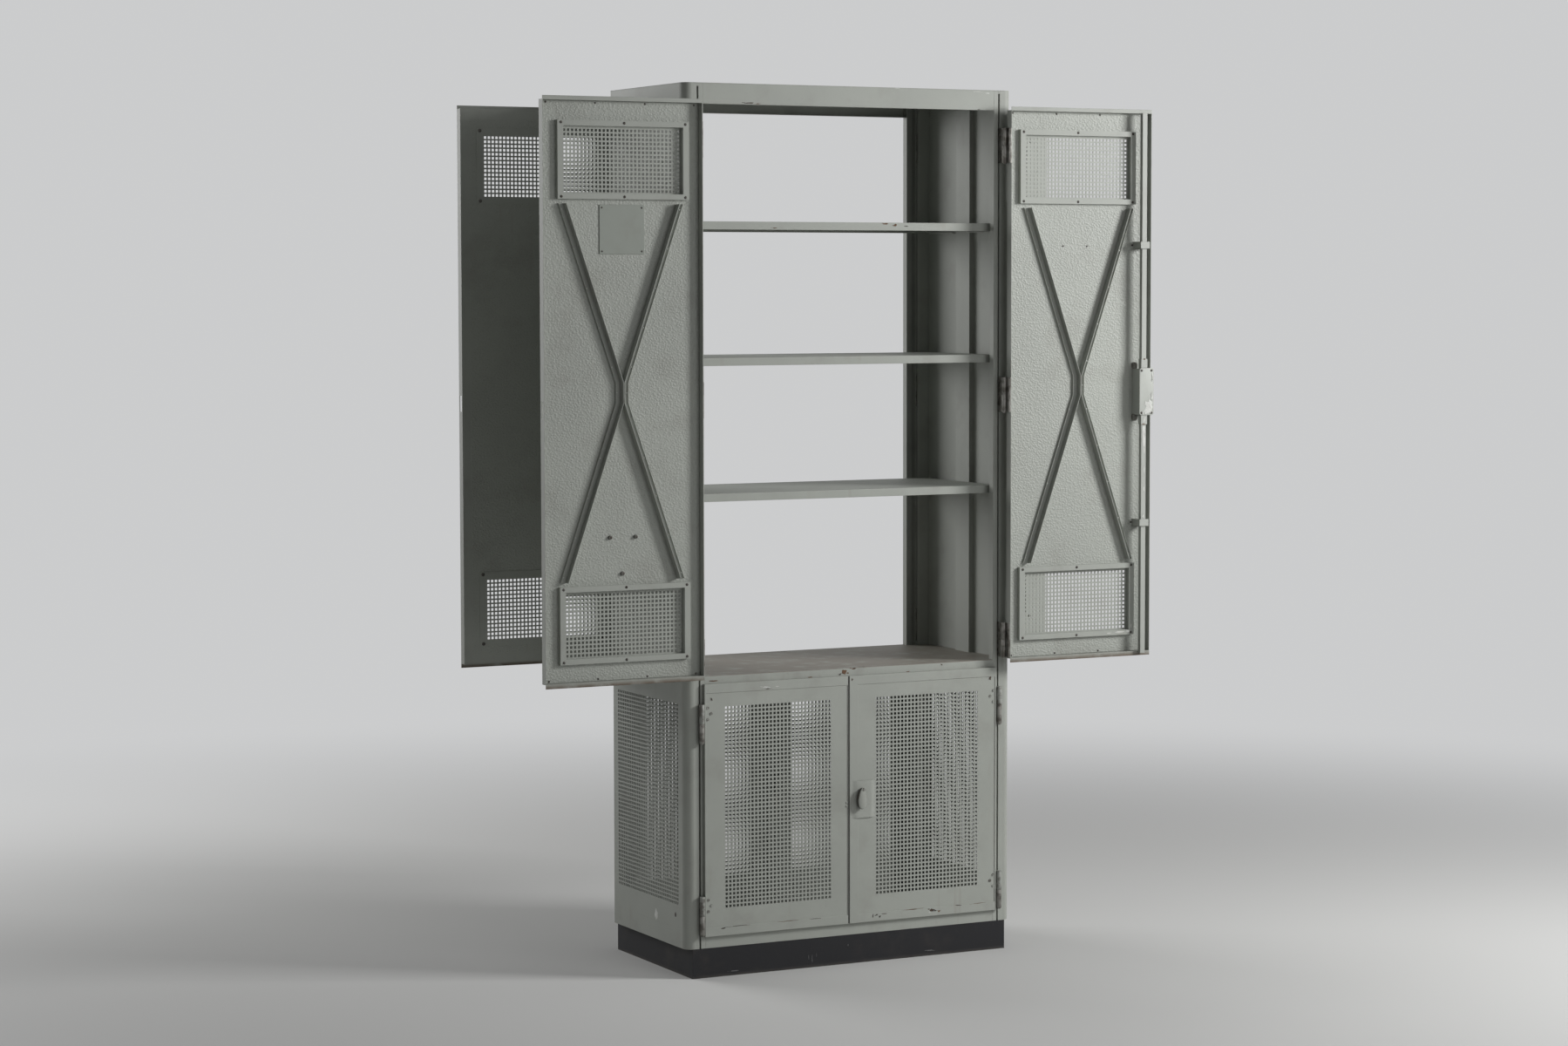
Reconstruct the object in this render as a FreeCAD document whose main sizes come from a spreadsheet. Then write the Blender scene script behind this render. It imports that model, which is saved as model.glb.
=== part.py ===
import FreeCAD
import Part
import os
import re

# Double-sided steel storage cabinet: open shelving above a perforated lower
# compartment, with two upper and two lower doors on the front and on the rear.
# The origin is on the floor at the centre of the base, X to the right,
# Y towards the rear and Z up. The upper doors are stored folded flat open.

doc = FreeCAD.newDocument("StorageCabinet")
sheet = doc.addObject("Spreadsheet::Sheet", "Sizes")

SIZES = {
    # carcass envelope
    "width": 840.0,
    "depth": 406.0,
    "height": 2000.0,
    "frame_sheet": 1.5,
    # plinth
    "plinth_height": 67.0,
    "plinth_inset": 15.0,
    "plinth_wall": 3.0,
    # corner posts, grooves and door stiles
    "post_face": 32.5,
    "post_side": 20.4,
    "post_round": 19.5,
    "groove": 3.9,
    "stile_front": 11.1,
    "stile_rear": 25.6,
    "stile_return": 18.0,
    "header_height": 46.1,
    "rail_height": 27.0,
    "rail_ledge": 33.0,
    "side_seam": 109.0,
    # openings in the lower sides and doors
    "mesh_bar": 15.0,
    "side_mesh_edge": 19.0,
    "side_mesh_foot": 49.0,
    "side_mesh_head": 39.0,
    "door_mesh_inner": 54.5,
    "door_mesh_outer": 51.5,
    "door_mesh_foot": 56.0,
    "door_mesh_head": 56.0,
    # deck between the two compartments
    "deck_top": 681.5,
    "deck_flange": 17.5,
    # shelves and what carries them
    "shelf_first": 1087.0,
    "shelf_pitch": 304.0,
    "shelf_height": 18.0,
    "shelf_side_gap": 13.5,
    "shelf_setback": 30.0,
    "runner_front_gap": 41.0,
    "runner_rear_gap": 56.0,
    "runner_height": 20.0,
    "runner_ledge": 22.0,
    "upright_width": 64.0,
    "upright_proud": 12.0,
    # upper doors, lying open at half a turn
    "hinge_side": 31.1,
    "hinge_ahead": 22.0,
    "door_offset": 5.3,
    "skin_offset": 1.0,
    "door_width": 382.0,
    "door_bottom": 686.7,
    "door_top": 1953.5,
    "door_depth": 20.0,
    "door_sheet": 1.2,
    "lip_bottom": 9.0,
    "lip_top": 8.0,
    "panel_sheet": 1.5,
    "panel_gap": 0.8,
    # vent covers on the upper doors
    "vent_start": 29.4,
    "vent_width": 314.0,
    "vent_height": 170.0,
    "vent_proud": 9.5,
    "vent_foot_gap": 40.8,
    "vent_head_gap": 43.5,
    "vent_frame_side": 14.0,
    "vent_frame_end": 12.0,
    # bent braces on the upper doors
    "brace_centre": 1318.5,
    "brace_straight": 22.0,
    "brace_reach": 412.0,
    "brace_spread": 134.0,
    "brace_foot": 15.0,
    "brace_web": 16.0,
    "brace_lip": 5.0,
    "brace_sheet": 1.5,
    # plate and studs on the front left door
    "blank_side": 107.0,
    "blank_start": 135.0,
    "blank_low": 1621.0,
    "blank_sheet": 1.5,
    "stud_radius": 4.0,
    "stud_length": 5.0,
    "stud_row": 1002.0,
    "stud_near": 158.5,
    "stud_far": 220.0,
    "stud_foot": 922.0,
    "stud_middle": 190.5,
    "strike_low": 1266.0,
    "strike_length": 36.5,
    "strike_width": 9.0,
    # hinges
    "knuckle_radius": 5.0,
    "pin_radius": 2.5,
    "pin_play": 0.05,
    "pin_head": 2.0,
    "pin_head_radius": 4.2,
    "hinge_length": 80.0,
    "knuckle_gap": 0.6,
    "body_leaf": 2.0,
    "door_leaf": 1.5,
    "leaf_reach": 15.0,
    "hinge_foot_gap": 2.8,
    "hinge_middle": 1259.5,
    "hinge_head_gap": 40.5,
    # lock case and its two rods on the right upper doors
    "rod_centre": 355.0,
    "rod_width": 13.0,
    "rod_thick": 10.0,
    "rod_standoff": 3.0,
    "rod_play": 0.8,
    "rod_top_gap": 0.5,
    "rod_foot_drop": 2.7,
    "rod_travel": 12.0,
    "case_start": 341.8,
    "case_width": 39.0,
    "case_height": 111.0,
    "case_low": 1246.0,
    "case_wall": 1.5,
    "case_lid": 1.5,
    "coupler_length": 21.0,
    "coupler_proud": 2.0,
    "guide_upper": 1645.0,
    "guide_lower": 993.0,
    "guide_height": 16.0,
    "guide_wall": 3.0,
    "spindle_across": 361.8,
    "spindle_radius": 5.0,
    "spindle_play": 0.4,
    "cam_radius": 11.0,
    "cam_thick": 5.0,
    "lever_length": 105.0,
    "lever_width": 16.0,
    "lever_thick": 8.0,
    "lever_standoff": 22.0,
    "rose_radius": 17.0,
    "rose_thick": 3.0,
    # lower doors, closed
    "lower_side": 42.8,
    "lower_bottom": 94.3,
    "lower_top": 664.3,
    "lower_ahead": 9.2,
    "lower_depth": 8.2,
    "meet_right": 10.5,
    "meet_left": 11.5,
    "band_top": 21.0,
    "band_bottom": 20.5,
    "band_meet": 21.7,
    "band_edge": 4.0,
    "sheet_lap": 3.0,
    "lower_axis_side": 35.5,
    "lower_knuckle": 6.0,
    "lower_hinge_length": 87.0,
    "lower_hinge_foot": 4.7,
    "lower_hinge_head": 45.3,
    "lower_leaf_reach": 30.0,
    "rivet_radius": 3.2,
    "rivet_proud": 1.6,
    "rivet_edge": 7.7,
    "rivet_inner": 16.2,
    "rivet_rise": 9.0,
    "rivet_pitch": 13.0,
    # turn handles on the right lower doors
    "pad_low": 337.0,
    "pad_height": 85.0,
    "pad_start": 10.0,
    "pad_width": 32.0,
    "pad_proud": 2.0,
    "knob_across": 16.0,
    "knob_centre": 382.0,
    "knob_width": 20.0,
    "knob_height": 48.0,
    "knob_thick": 9.0,
    "knob_neck": 7.0,
    "knob_spindle": 4.0,
    "knob_play": 0.4,
    "tongue_reach": 40.0,
    "tongue_width": 12.0,
    "tongue_thick": 2.0,
    "tongue_gap": 1.5,
    # top cover
    "cap_sheet": 1.5,
    "plug_drop": 6.5,
}

for row, (alias, value) in enumerate(SIZES.items(), start=1):
    sheet.set("A%d" % row, alias)
    sheet.set("B%d" % row, str(value))
    sheet.setAlias("B%d" % row, alias)
doc.recompute()

WORDS = re.compile(r"[a-z][a-z_]*")


def bound(text):
    """An expression on the sheet from a formula in the sizes' names."""
    return WORDS.sub(lambda word: "Sizes." + word.group(0), text)


def place(item, x, y, z):
    item.setExpression("Placement.Base.x", bound(x))
    item.setExpression("Placement.Base.y", bound(y))
    item.setExpression("Placement.Base.z", bound(z))


def span(low, high):
    return "(%s) - (%s)" % (high, low)


def box(name, x, y, z):
    """A block between two bounds on each axis."""
    item = doc.addObject("Part::Box", name)
    item.setExpression("Length", bound(span(*x)))
    item.setExpression("Width", bound(span(*y)))
    item.setExpression("Height", bound(span(*z)))
    place(item, x[0], y[0], z[0])
    return item


def rod_z(name, radius, x, y, z):
    """A round bar along Z."""
    item = doc.addObject("Part::Cylinder", name)
    item.setExpression("Radius", bound(radius))
    item.setExpression("Height", bound(span(*z)))
    place(item, x, y, z[0])
    return item


def rod_y(name, radius, x, y, z):
    """A round bar along Y."""
    item = doc.addObject("Part::Cylinder", name)
    item.setExpression("Radius", bound(radius))
    item.setExpression("Height", bound(span(*y)))
    item.Placement.Rotation = FreeCAD.Rotation(FreeCAD.Vector(1, 0, 0), -90)
    place(item, x, y[0], z)
    return item


def slant(name, low, high, wide, y, z):
    """A sloping bar of constant width in X between the heights in z."""
    item = doc.addObject("Part::Wedge", name)
    item.setExpression("Xmin", bound(low))
    item.setExpression("Xmax", bound("(%s) + (%s)" % (low, wide)))
    item.setExpression("X2min", bound(high))
    item.setExpression("X2max", bound("(%s) + (%s)" % (high, wide)))
    item.setExpression("Ymin", "0")
    item.setExpression("Ymax", bound(span(*z)))
    item.setExpression("Zmin", "0")
    item.setExpression("Z2min", "0")
    item.setExpression("Zmax", bound(span(*y)))
    item.setExpression("Z2max", bound(span(*y)))
    item.Placement.Rotation = FreeCAD.Rotation(FreeCAD.Vector(1, 0, 0), 90)
    place(item, "0", y[1], z[0])
    return item


def fuse(name, *items):
    item = doc.addObject("Part::MultiFuse", name)
    item.Shapes = list(items)
    item.Refine = True
    return item


def common(name, first, second):
    item = doc.addObject("Part::Common", name)
    item.Base = first
    item.Tool = second
    return item


def cut(name, base, *tools):
    """The base less all the tools."""
    tool = tools[0]
    if len(tools) > 1:
        tool = fuse(name + "_tools", *tools)
    item = doc.addObject("Part::Cut", name)
    item.Base = base
    item.Tool = tool
    return item


def group(name, *items):
    """Separate solids that share one node."""
    item = doc.addObject("Part::Compound", name)
    item.Links = list(items)
    return item


def mirrored(name, source, axis):
    """The same piece on the other side of the middle plane square to axis."""
    item = doc.addObject("Part::Mirroring", name)
    item.Source = source
    item.Base = FreeCAD.Vector(0, 0, 0)
    item.Normal = axis
    return item


SIDEWAYS = FreeCAD.Vector(1, 0, 0)
DEPTHWAYS = FreeCAD.Vector(0, 1, 0)
nodes = {}


def keep(node, item):
    item.Label = node
    nodes[node] = item
    return item


def four(name, item):
    """The piece at all four corners."""
    left = mirrored(name + "_left", item, SIDEWAYS)
    rear = mirrored(name + "_rear", item, DEPTHWAYS)
    both = mirrored(name + "_both", left, DEPTHWAYS)
    return [item, left, rear, both]


# Planes and edges used again and again, as formulas in the sizes' names.
SIDE = "width / 2"
WALL = "width / 2 - frame_sheet"
FRONT = "0 - depth / 2"
POST_EDGE = "width / 2 - post_face"
STILE_OUT = "width / 2 - post_face - groove"
STILE_IN = "width / 2 - post_face - groove - stile_front"
STILE_IN_REAR = "width / 2 - post_face - groove - stile_rear"
CORNER_Y = "0 - depth / 2 + post_side"
UNDER_CAP = "height - cap_sheet"
DECK_LOW = "deck_top - deck_flange"
SHELF_END = "width / 2 - frame_sheet - shelf_side_gap"
SHELF_EDGE = "depth / 2 - shelf_setback"


def neg(text):
    return "0 - (%s)" % text


def plus(text, more):
    return "(%s) + (%s)" % (text, more)


def less(text, more):
    return "(%s) - (%s)" % (text, more)


def both_ways(text):
    return (neg(text), text)


def make_plinth():
    """A black sheet base, set back at the sides and flush at front and rear."""
    outer = both_ways("width / 2 - plinth_inset")
    inner = both_ways("width / 2 - plinth_inset - plinth_wall")
    across = both_ways("depth / 2")
    within = both_ways("depth / 2 - plinth_wall")
    solid = box("plinth_block", outer, across, ("0", "plinth_height"))
    hollow = box("plinth_hollow", inner, within, ("0 - 1", "plinth_height + 1"))
    keep("plinth", cut("plinth", solid, hollow))


def post_block(name, wall):
    """A post's section, shrunk by wall all round, from rail to cap."""
    z = ("plinth_height", UNDER_CAP)
    if wall:
        z = ("plinth_height - 1", UNDER_CAP + " + 1")
    low_x = plus(POST_EDGE, wall) if wall else POST_EDGE
    high_x = less(SIDE, wall) if wall else SIDE
    low_y = plus(FRONT, wall) if wall else FRONT
    high_y = less(CORNER_Y, wall) if wall else CORNER_Y
    radius = less("post_round", wall) if wall else "post_round"
    whole = box(name + "_whole", (low_x, high_x), (low_y, high_y), z)
    face = box(name + "_face", (low_x, less(SIDE, "post_round")), (low_y, high_y), z)
    turn = rod_z(name + "_turn", radius, less(SIDE, "post_round"),
                 plus(FRONT, "post_round"), z)
    pieces = [face, turn]
    if not wall:
        pieces.append(box(name + "_seam", (low_x, high_x),
                          (plus(FRONT, "post_round"), high_y), z))
    shape = fuse(name + "_shape", *pieces)
    return common(name, whole, shape)


def make_posts():
    """Four rounded hollow corner posts."""
    outer = post_block("post_outer", "")
    inner = post_block("post_inner", "frame_sheet")
    post = cut("post_tube", outer, inner)
    keep("corner_posts", group("corner_posts", *four("post", post)))


def make_stiles():
    """Angle stiles beside the door openings, broader on the rear."""
    z = ("plinth_height", UNDER_CAP)
    pieces = []
    for tag, inner in (("front", STILE_IN), ("rear", STILE_IN_REAR)):
        face = box("stile_face_" + tag, (inner, STILE_OUT),
                   (FRONT, plus(FRONT, "frame_sheet")), z)
        back = box("stile_back_" + tag, (inner, plus(inner, "frame_sheet")),
                   (FRONT, plus(FRONT, "stile_return")), z)
        stop = box("stile_stop_" + tag, (less(STILE_OUT, "frame_sheet"), STILE_OUT),
                   (FRONT, plus(FRONT, "stile_return")), z)
        right = fuse("stile_right_" + tag, face, back, stop)
        if tag == "rear":
            right = mirrored("stile_rear_right", right, DEPTHWAYS)
        left = mirrored("stile_left_" + tag, right, SIDEWAYS)
        pieces += [right, left]
    keep("door_stiles", group("door_stiles", *pieces))


def rod_slot(name, z):
    """The clearance slot for a lock rod, in the closed door's position."""
    closed = "(width / 2 - hinge_side) - (door_offset + rod_centre)"
    half = "rod_width / 2 + rod_play"
    near = plus(FRONT, "skin_offset + door_depth + rod_standoff - hinge_ahead - rod_play")
    far = plus(near, "rod_thick + 2 * rod_play")
    return box(name, (less(closed, half), plus(closed, half)), (near, far), z)


def make_headers():
    """Headers over both door openings, each with a slot for the lock rod."""
    pieces = []
    low = "height - header_height"
    for tag, inner in (("front", STILE_IN), ("rear", STILE_IN_REAR)):
        x = both_ways(inner)
        face = box("header_face_" + tag, x, (FRONT, plus(FRONT, "frame_sheet")),
                   (low, UNDER_CAP))
        foot = box("header_foot_" + tag, x, (FRONT, plus(FRONT, "stile_return")),
                   (low, plus(low, "frame_sheet")))
        whole = fuse("header_whole_" + tag, face, foot)
        slot = rod_slot("header_slot_" + tag, (low + " - 1", low + " + frame_sheet + 1"))
        piece = cut("header_" + tag, whole, slot)
        if tag == "rear":
            piece = mirrored("header_rear_piece", piece, DEPTHWAYS)
        pieces.append(piece)
    keep("headers", group("headers", *pieces))


def make_rails():
    """Bottom rails: two with ledges under the doors and two on the sides."""
    pieces = []
    for tag, inner in (("front", STILE_IN), ("rear", STILE_IN_REAR)):
        x = both_ways(inner)
        face = box("rail_face_" + tag, x, (FRONT, plus(FRONT, "frame_sheet")),
                   ("plinth_height", "plinth_height + rail_height"))
        foot = box("rail_foot_" + tag, x, (FRONT, plus(FRONT, "rail_ledge")),
                   ("plinth_height", "plinth_height + frame_sheet"))
        piece = fuse("rail_" + tag, face, foot)
        if tag == "rear":
            piece = mirrored("rail_rear_piece", piece, DEPTHWAYS)
        pieces.append(piece)
    right = box("rail_side", (WALL, SIDE), both_ways("depth / 2 - post_side"),
                ("plinth_height", "side_seam"))
    left = mirrored("rail_side_left", right, SIDEWAYS)
    keep("bottom_rails", group("bottom_rails", *pieces, right, left))


def make_base_panel():
    """The floor of the lower compartment, lying on the rails' ledges."""
    low = "plinth_height + frame_sheet"
    panel = box("base_plate", both_ways(WALL), both_ways("depth / 2 - post_side"),
                (low, plus(low, "frame_sheet")))
    keep("base_panel", panel)


# The real lower sheets are punched with square holes 9.35 mm apart, far too fine
# for this file. A plain grid stands for them: each opening covers five holes by
# five, and the bars leave about the same share open.


def steps(low, high, count):
    """The bounds of count equal openings from low to high, with bars between them."""
    step = "((%s) - (%s)) / %d" % (high, low, count)
    bounds = []
    for index in range(count):
        near = "(%s) + %d * %s + mesh_bar / 2" % (low, index, step)
        far = "(%s) + %d * %s - mesh_bar / 2" % (low, index + 1, step)
        bounds.append((near, far))
    return bounds


def make_sides():
    """Plain upper side sheets between the posts, and lower ones with a grid of openings."""
    y = both_ways("depth / 2 - post_side")
    upper = box("side_upper", (WALL, SIDE), y, (DECK_LOW, UNDER_CAP))
    plate = box("side_plate", (WALL, SIDE), y, ("side_seam", DECK_LOW))
    column_count = 7
    row_count = 10
    columns = steps(*both_ways("depth / 2 - post_side - side_mesh_edge"), column_count)
    rows = steps("side_seam + side_mesh_foot", less(DECK_LOW, "side_mesh_head"), row_count)
    through = (less(WALL, "1"), plus(SIDE, "1"))
    openings = []
    for index, column in enumerate(columns):
        for level, row in enumerate(rows):
            openings.append(box("side_opening_%d_%d" % (index, level), through, column, row))
    lower = cut("side_lower", plate, group("side_openings", *openings))
    keep("upper_side_right", upper)
    keep("lower_side_right", lower)
    keep("upper_side_left", mirrored("side_upper_left", upper, SIDEWAYS))
    keep("lower_side_left", mirrored("side_lower_left", lower, SIDEWAYS))


def make_deck():
    """The deck between the compartments, with a turned-down edge at each opening."""
    z = ("deck_top - frame_sheet", "deck_top")
    wings = box("deck_wings", both_ways(WALL), both_ways("depth / 2 - post_side"), z)
    front = box("deck_front", both_ways(STILE_IN), (FRONT, "0"), z)
    rear = box("deck_rear", both_ways(STILE_IN_REAR), ("0", "depth / 2"), z)
    edge = box("deck_edge", both_ways(STILE_IN), (FRONT, plus(FRONT, "frame_sheet")),
               (DECK_LOW, "deck_top"))
    far_edge = box("deck_far_edge", both_ways(STILE_IN_REAR),
                   ("depth / 2 - frame_sheet", "depth / 2"), (DECK_LOW, "deck_top"))
    side = box("deck_side", (less(WALL, "frame_sheet"), WALL),
               both_ways("depth / 2 - post_side"), (DECK_LOW, "deck_top"))
    other = mirrored("deck_side_left", side, SIDEWAYS)
    whole = fuse("deck_whole", wings, front, rear, edge, far_edge, side, other)
    slot = rod_slot("deck_slot", (DECK_LOW + " - 1", "deck_top + 1"))
    slot_rear = mirrored("deck_slot_rear", slot, DEPTHWAYS)
    keep("deck", cut("deck", whole, slot, slot_rear))


def shelf_base(index):
    """The underside of a shelf, counted from the lowest."""
    return "shelf_first + %d * shelf_pitch - shelf_height" % index


def make_shelves():
    """Three folded shelves, each an inverted tray."""
    for index, node in enumerate(("shelf_lower", "shelf_middle", "shelf_upper")):
        base = shelf_base(index)
        block = box(node + "_block", both_ways(SHELF_END),
                    both_ways(SHELF_EDGE), (base, plus(base, "shelf_height")))
        hollow = box(node + "_hollow", both_ways(less(SHELF_END, "frame_sheet")),
                     both_ways(less(SHELF_EDGE, "frame_sheet")),
                     (base + " - 1", plus(base, "shelf_height - frame_sheet")))
        keep(node, cut(node, block, hollow))


def make_supports():
    """Channel uprights on the side walls, and the angle runners under the shelves."""
    half = "upright_width / 2"
    near = less(WALL, "upright_proud")
    z = ("deck_top", UNDER_CAP)
    face = box("upright_face", (near, plus(near, "frame_sheet")), both_ways(half), z)
    ends = []
    for tag, y in (("front", (neg(half), neg("upright_width / 2 - frame_sheet"))),
                   ("rear", ("upright_width / 2 - frame_sheet", half))):
        ends.append(box("upright_" + tag, (near, WALL), y, z))
    pieces = [fuse("upright", face, *ends)]
    for index in range(3):
        base = shelf_base(index)
        for tag, y in (("front", ("runner_front_gap - depth / 2", neg(half))),
                       ("rear", (half, "depth / 2 - runner_rear_gap"))):
            name = "runner_%d_%s" % (index, tag)
            ledge = box(name + "_ledge", (less(WALL, "runner_ledge"), WALL), y,
                        (base + " - frame_sheet", base))
            back = box(name + "_back", (less(WALL, "frame_sheet"), WALL), y,
                       (base + " - runner_height", base))
            pieces.append(fuse(name, ledge, back))
    others = [mirrored(item.Name + "_left", item, SIDEWAYS) for item in pieces]
    keep("shelf_supports", group("shelf_supports", *pieces, *others))


def make_cap():
    """The top cover, rounded like the posts, with plugs over the grooves."""
    z = (UNDER_CAP, "height")
    long = box("cap_long", both_ways(less(SIDE, "post_round")), both_ways("depth / 2"), z)
    wide = box("cap_wide", both_ways(SIDE), both_ways("depth / 2 - post_round"), z)
    corner = rod_z("cap_corner", "post_round", less(SIDE, "post_round"),
                   plus(FRONT, "post_round"), z)
    plug = box("cap_plug", (STILE_OUT, POST_EDGE), (FRONT, plus(FRONT, "leaf_reach")),
               (UNDER_CAP + " - plug_drop", "height"))
    pieces = four("cap_corner", corner) + four("cap_plug", plug)
    keep("top_cap", fuse("top_cap", long, wide, *pieces))


# The right front upper door lies open at half a turn: its hinge edge is near
# the axis, its skin faces the rear and its hollow side faces the front.
AXIS = "width / 2 - hinge_side"
AXIS_Y = "0 - depth / 2 - hinge_ahead"
EDGE = "width / 2 - hinge_side + door_offset"
FREE = "width / 2 - hinge_side + door_offset + door_width"
SKIN = "0 - depth / 2 - hinge_ahead - skin_offset"
SKIN_IN = SKIN + " - door_sheet"
RIM = SKIN + " - door_depth"
PANEL = SKIN_IN + " - panel_sheet"
VENTS = (("low", "door_bottom + vent_foot_gap"),
         ("high", "door_top - vent_head_gap - vent_height"))


def across(start):
    """A distance from the upper door's hinge edge."""
    return plus(EDGE, start)


def vent_windows(name, y):
    """Openings behind the two vent covers."""
    pieces = []
    for tag, low in VENTS:
        pieces.append(box(name + "_" + tag,
                          (across("vent_start + vent_frame_side"),
                           across("vent_start + vent_width - vent_frame_side")), y,
                          (low + " + vent_frame_end",
                           low + " + vent_height - vent_frame_end")))
    return pieces


def make_tray(tag, lock):
    """An upper door's skin with folded sides and turned lips at top and bottom."""
    name = "tray_" + tag
    block = box(name + "_block", (EDGE, FREE), (RIM, SKIN), ("door_bottom", "door_top"))
    hollow = box(name + "_hollow", (plus(EDGE, "door_sheet"), less(FREE, "door_sheet")),
                 (RIM + " - 1", SKIN_IN),
                 ("door_bottom + door_sheet", "door_top - door_sheet"))
    lip_y = (RIM, RIM + " + door_sheet")
    low = box(name + "_low", (EDGE, FREE), lip_y,
              ("door_bottom - lip_bottom", "door_bottom + door_sheet"))
    high = box(name + "_high", (EDGE, FREE), lip_y,
               ("door_top - door_sheet", "door_top + lip_top"))
    shell = fuse(name + "_shell", cut(name + "_pan", block, hollow), low, high)
    cuts = vent_windows(name + "_window", (SKIN_IN + " - 1", SKIN + " + 1"))
    if lock:
        cuts.append(rod_y(name + "_hole", "spindle_radius + spindle_play",
                          across("spindle_across"), (SKIN_IN + " - 1", SKIN + " + 1"),
                          "case_low + case_height / 2"))
    else:
        cuts.append(box(name + "_strike", (FREE + " - door_sheet - 1", FREE + " + 1"),
                        (RIM + " + (door_depth - strike_width) / 2",
                         RIM + " + (door_depth + strike_width) / 2"),
                        ("strike_low", "strike_low + strike_length")))
    return cut(name, shell, *cuts)


def make_panel(tag, lock):
    """The grained liner on the inside of an upper door's skin."""
    name = "panel_" + tag
    inset = "door_sheet + panel_gap"
    plate = box(name + "_plate", (plus(EDGE, inset), less(FREE, inset)),
                (PANEL, SKIN_IN), (plus("door_bottom", inset), less("door_top", inset)))
    cuts = vent_windows(name + "_window", (PANEL + " - 1", SKIN_IN + " + 1"))
    if lock:
        cuts.append(rod_y(name + "_hole", "spindle_radius + spindle_play",
                          across("spindle_across"), (PANEL + " - 1", SKIN_IN + " + 1"),
                          "case_low + case_height / 2"))
    else:
        return with_blank(name, cut(name + "_sheet", plate, *cuts))
    return cut(name, plate, *cuts)


def with_blank(name, panel):
    """A square blanking plate and three studs on the liner."""
    y = (PANEL + " - blank_sheet", PANEL)
    plate = box(name + "_blank", (across("blank_start"), across("blank_start + blank_side")),
                y, ("blank_low", "blank_low + blank_side"))
    studs = []
    spots = (("stud_near", "stud_row"), ("stud_far", "stud_row"), ("stud_middle", "stud_foot"))
    for index, (start, height) in enumerate(spots):
        studs.append(rod_y("%s_stud_%d" % (name, index), "stud_radius", across(start),
                           (PANEL + " - stud_length", PANEL), height))
    return group(name, panel, plate, *studs)


def make_vents(tag):
    """Two hollow frames on the liner round the windows, and two plates over them outside.

    The real plates are perforated. They are plain here, because the holes are too fine."""
    pieces = []
    for level, low in VENTS:
        name = "vent_%s_%s" % (tag, level)
        x = (across("vent_start"), across("vent_start + vent_width"))
        z = (low, low + " + vent_height")
        y = (PANEL + " - vent_proud", PANEL)
        block = box(name + "_block", x, y, z)
        hollow = box(name + "_hollow", (plus(x[0], "door_sheet"), less(x[1], "door_sheet")),
                     (y[0] + " + door_sheet", y[1] + " + 1"),
                     (low + " + door_sheet", low + " + vent_height - door_sheet"))
        side = (plus(x[0], "vent_frame_side"), less(x[1], "vent_frame_side"))
        end = (low + " + vent_frame_end", low + " + vent_height - vent_frame_end")
        ring = box(name + "_ring", (less(side[0], "door_sheet"), plus(side[1], "door_sheet")), y,
                   (end[0] + " - door_sheet", end[1] + " + door_sheet"))
        window = box(name + "_window", side, (y[0] + " - 1", y[1] + " + 1"), end)
        frame = fuse(name + "_frame", cut(name + "_pan", block, hollow), ring)
        pieces.append(cut(name + "_open", frame, window))
        pieces.append(box(name + "_plate", x, (SKIN, SKIN + " + door_sheet"), z))
    return group("vents_" + tag, *pieces)


def brace_bar(name, wide, depth, shift):
    """One bent strip of a brace, from the liner out: a straight middle and two sloping ends."""
    middle = across("door_width / 2 + (%s)" % shift)
    outer = plus(middle, "brace_spread")
    y = (PANEL + " - (%s)" % depth, PANEL)
    low = "brace_centre - brace_straight"
    high = "brace_centre + brace_straight"
    centre = box(name + "_middle", (middle, plus(middle, wide)), y, (low, high))
    upper = slant(name + "_upper", middle, outer, wide, y,
                  (high, "brace_centre + brace_reach"))
    lower = slant(name + "_lower", outer, middle, wide, y,
                  ("brace_centre - brace_reach", low))
    return fuse(name, centre, upper, lower)


def make_braces(tag):
    """Two bent channel bars with their high webs back to back and a low lip outside."""
    foot = brace_bar("brace_foot_" + tag, "brace_foot", "brace_sheet", "0.4")
    web = brace_bar("brace_web_" + tag, "brace_sheet", "brace_web", "0.4")
    lip = brace_bar("brace_lip_" + tag, "brace_sheet", "brace_lip", "0.4 + brace_foot - brace_sheet")
    right = fuse("brace_" + tag, foot, web, lip)
    left = doc.addObject("Part::Mirroring", "brace_other_" + tag)
    left.Source = right
    left.setExpression("Base.x", bound(across("door_width / 2")))
    left.Normal = SIDEWAYS
    return group("braces_" + tag, right, left)


HINGES = ("door_bottom + hinge_foot_gap", "hinge_middle",
          "door_top - hinge_head_gap - hinge_length")


def knuckle(name, radius, x, y, z):
    """A hinge barrel with its bore."""
    barrel = rod_z(name + "_barrel", radius, x, y, z)
    bore = rod_z(name + "_bore", "pin_radius + pin_play", x, y,
                 (z[0] + " - 1", z[1] + " + 1"))
    return barrel, bore


def make_door_leaves(tag):
    """The upper door's hinge leaves on its edge, each with the upper knuckle."""
    pieces = []
    for index, low in enumerate(HINGES):
        name = "leaf_%s_%d" % (tag, index)
        half = low + " + hinge_length / 2 + knuckle_gap / 2"
        top = low + " + hinge_length"
        barrel, bore = knuckle(name, "knuckle_radius", AXIS, AXIS_Y, (half, top))
        x = (EDGE + " - door_leaf", EDGE)
        plate = box(name + "_plate", x, (RIM, AXIS_Y + " - knuckle_radius - 1"), (low, top))
        tab = box(name + "_tab", x, (RIM, AXIS_Y), (half, top))
        pieces.append(cut(name, fuse(name + "_whole", plate, tab, barrel), bore))
    return group("leaves_" + tag, *pieces)


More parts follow.
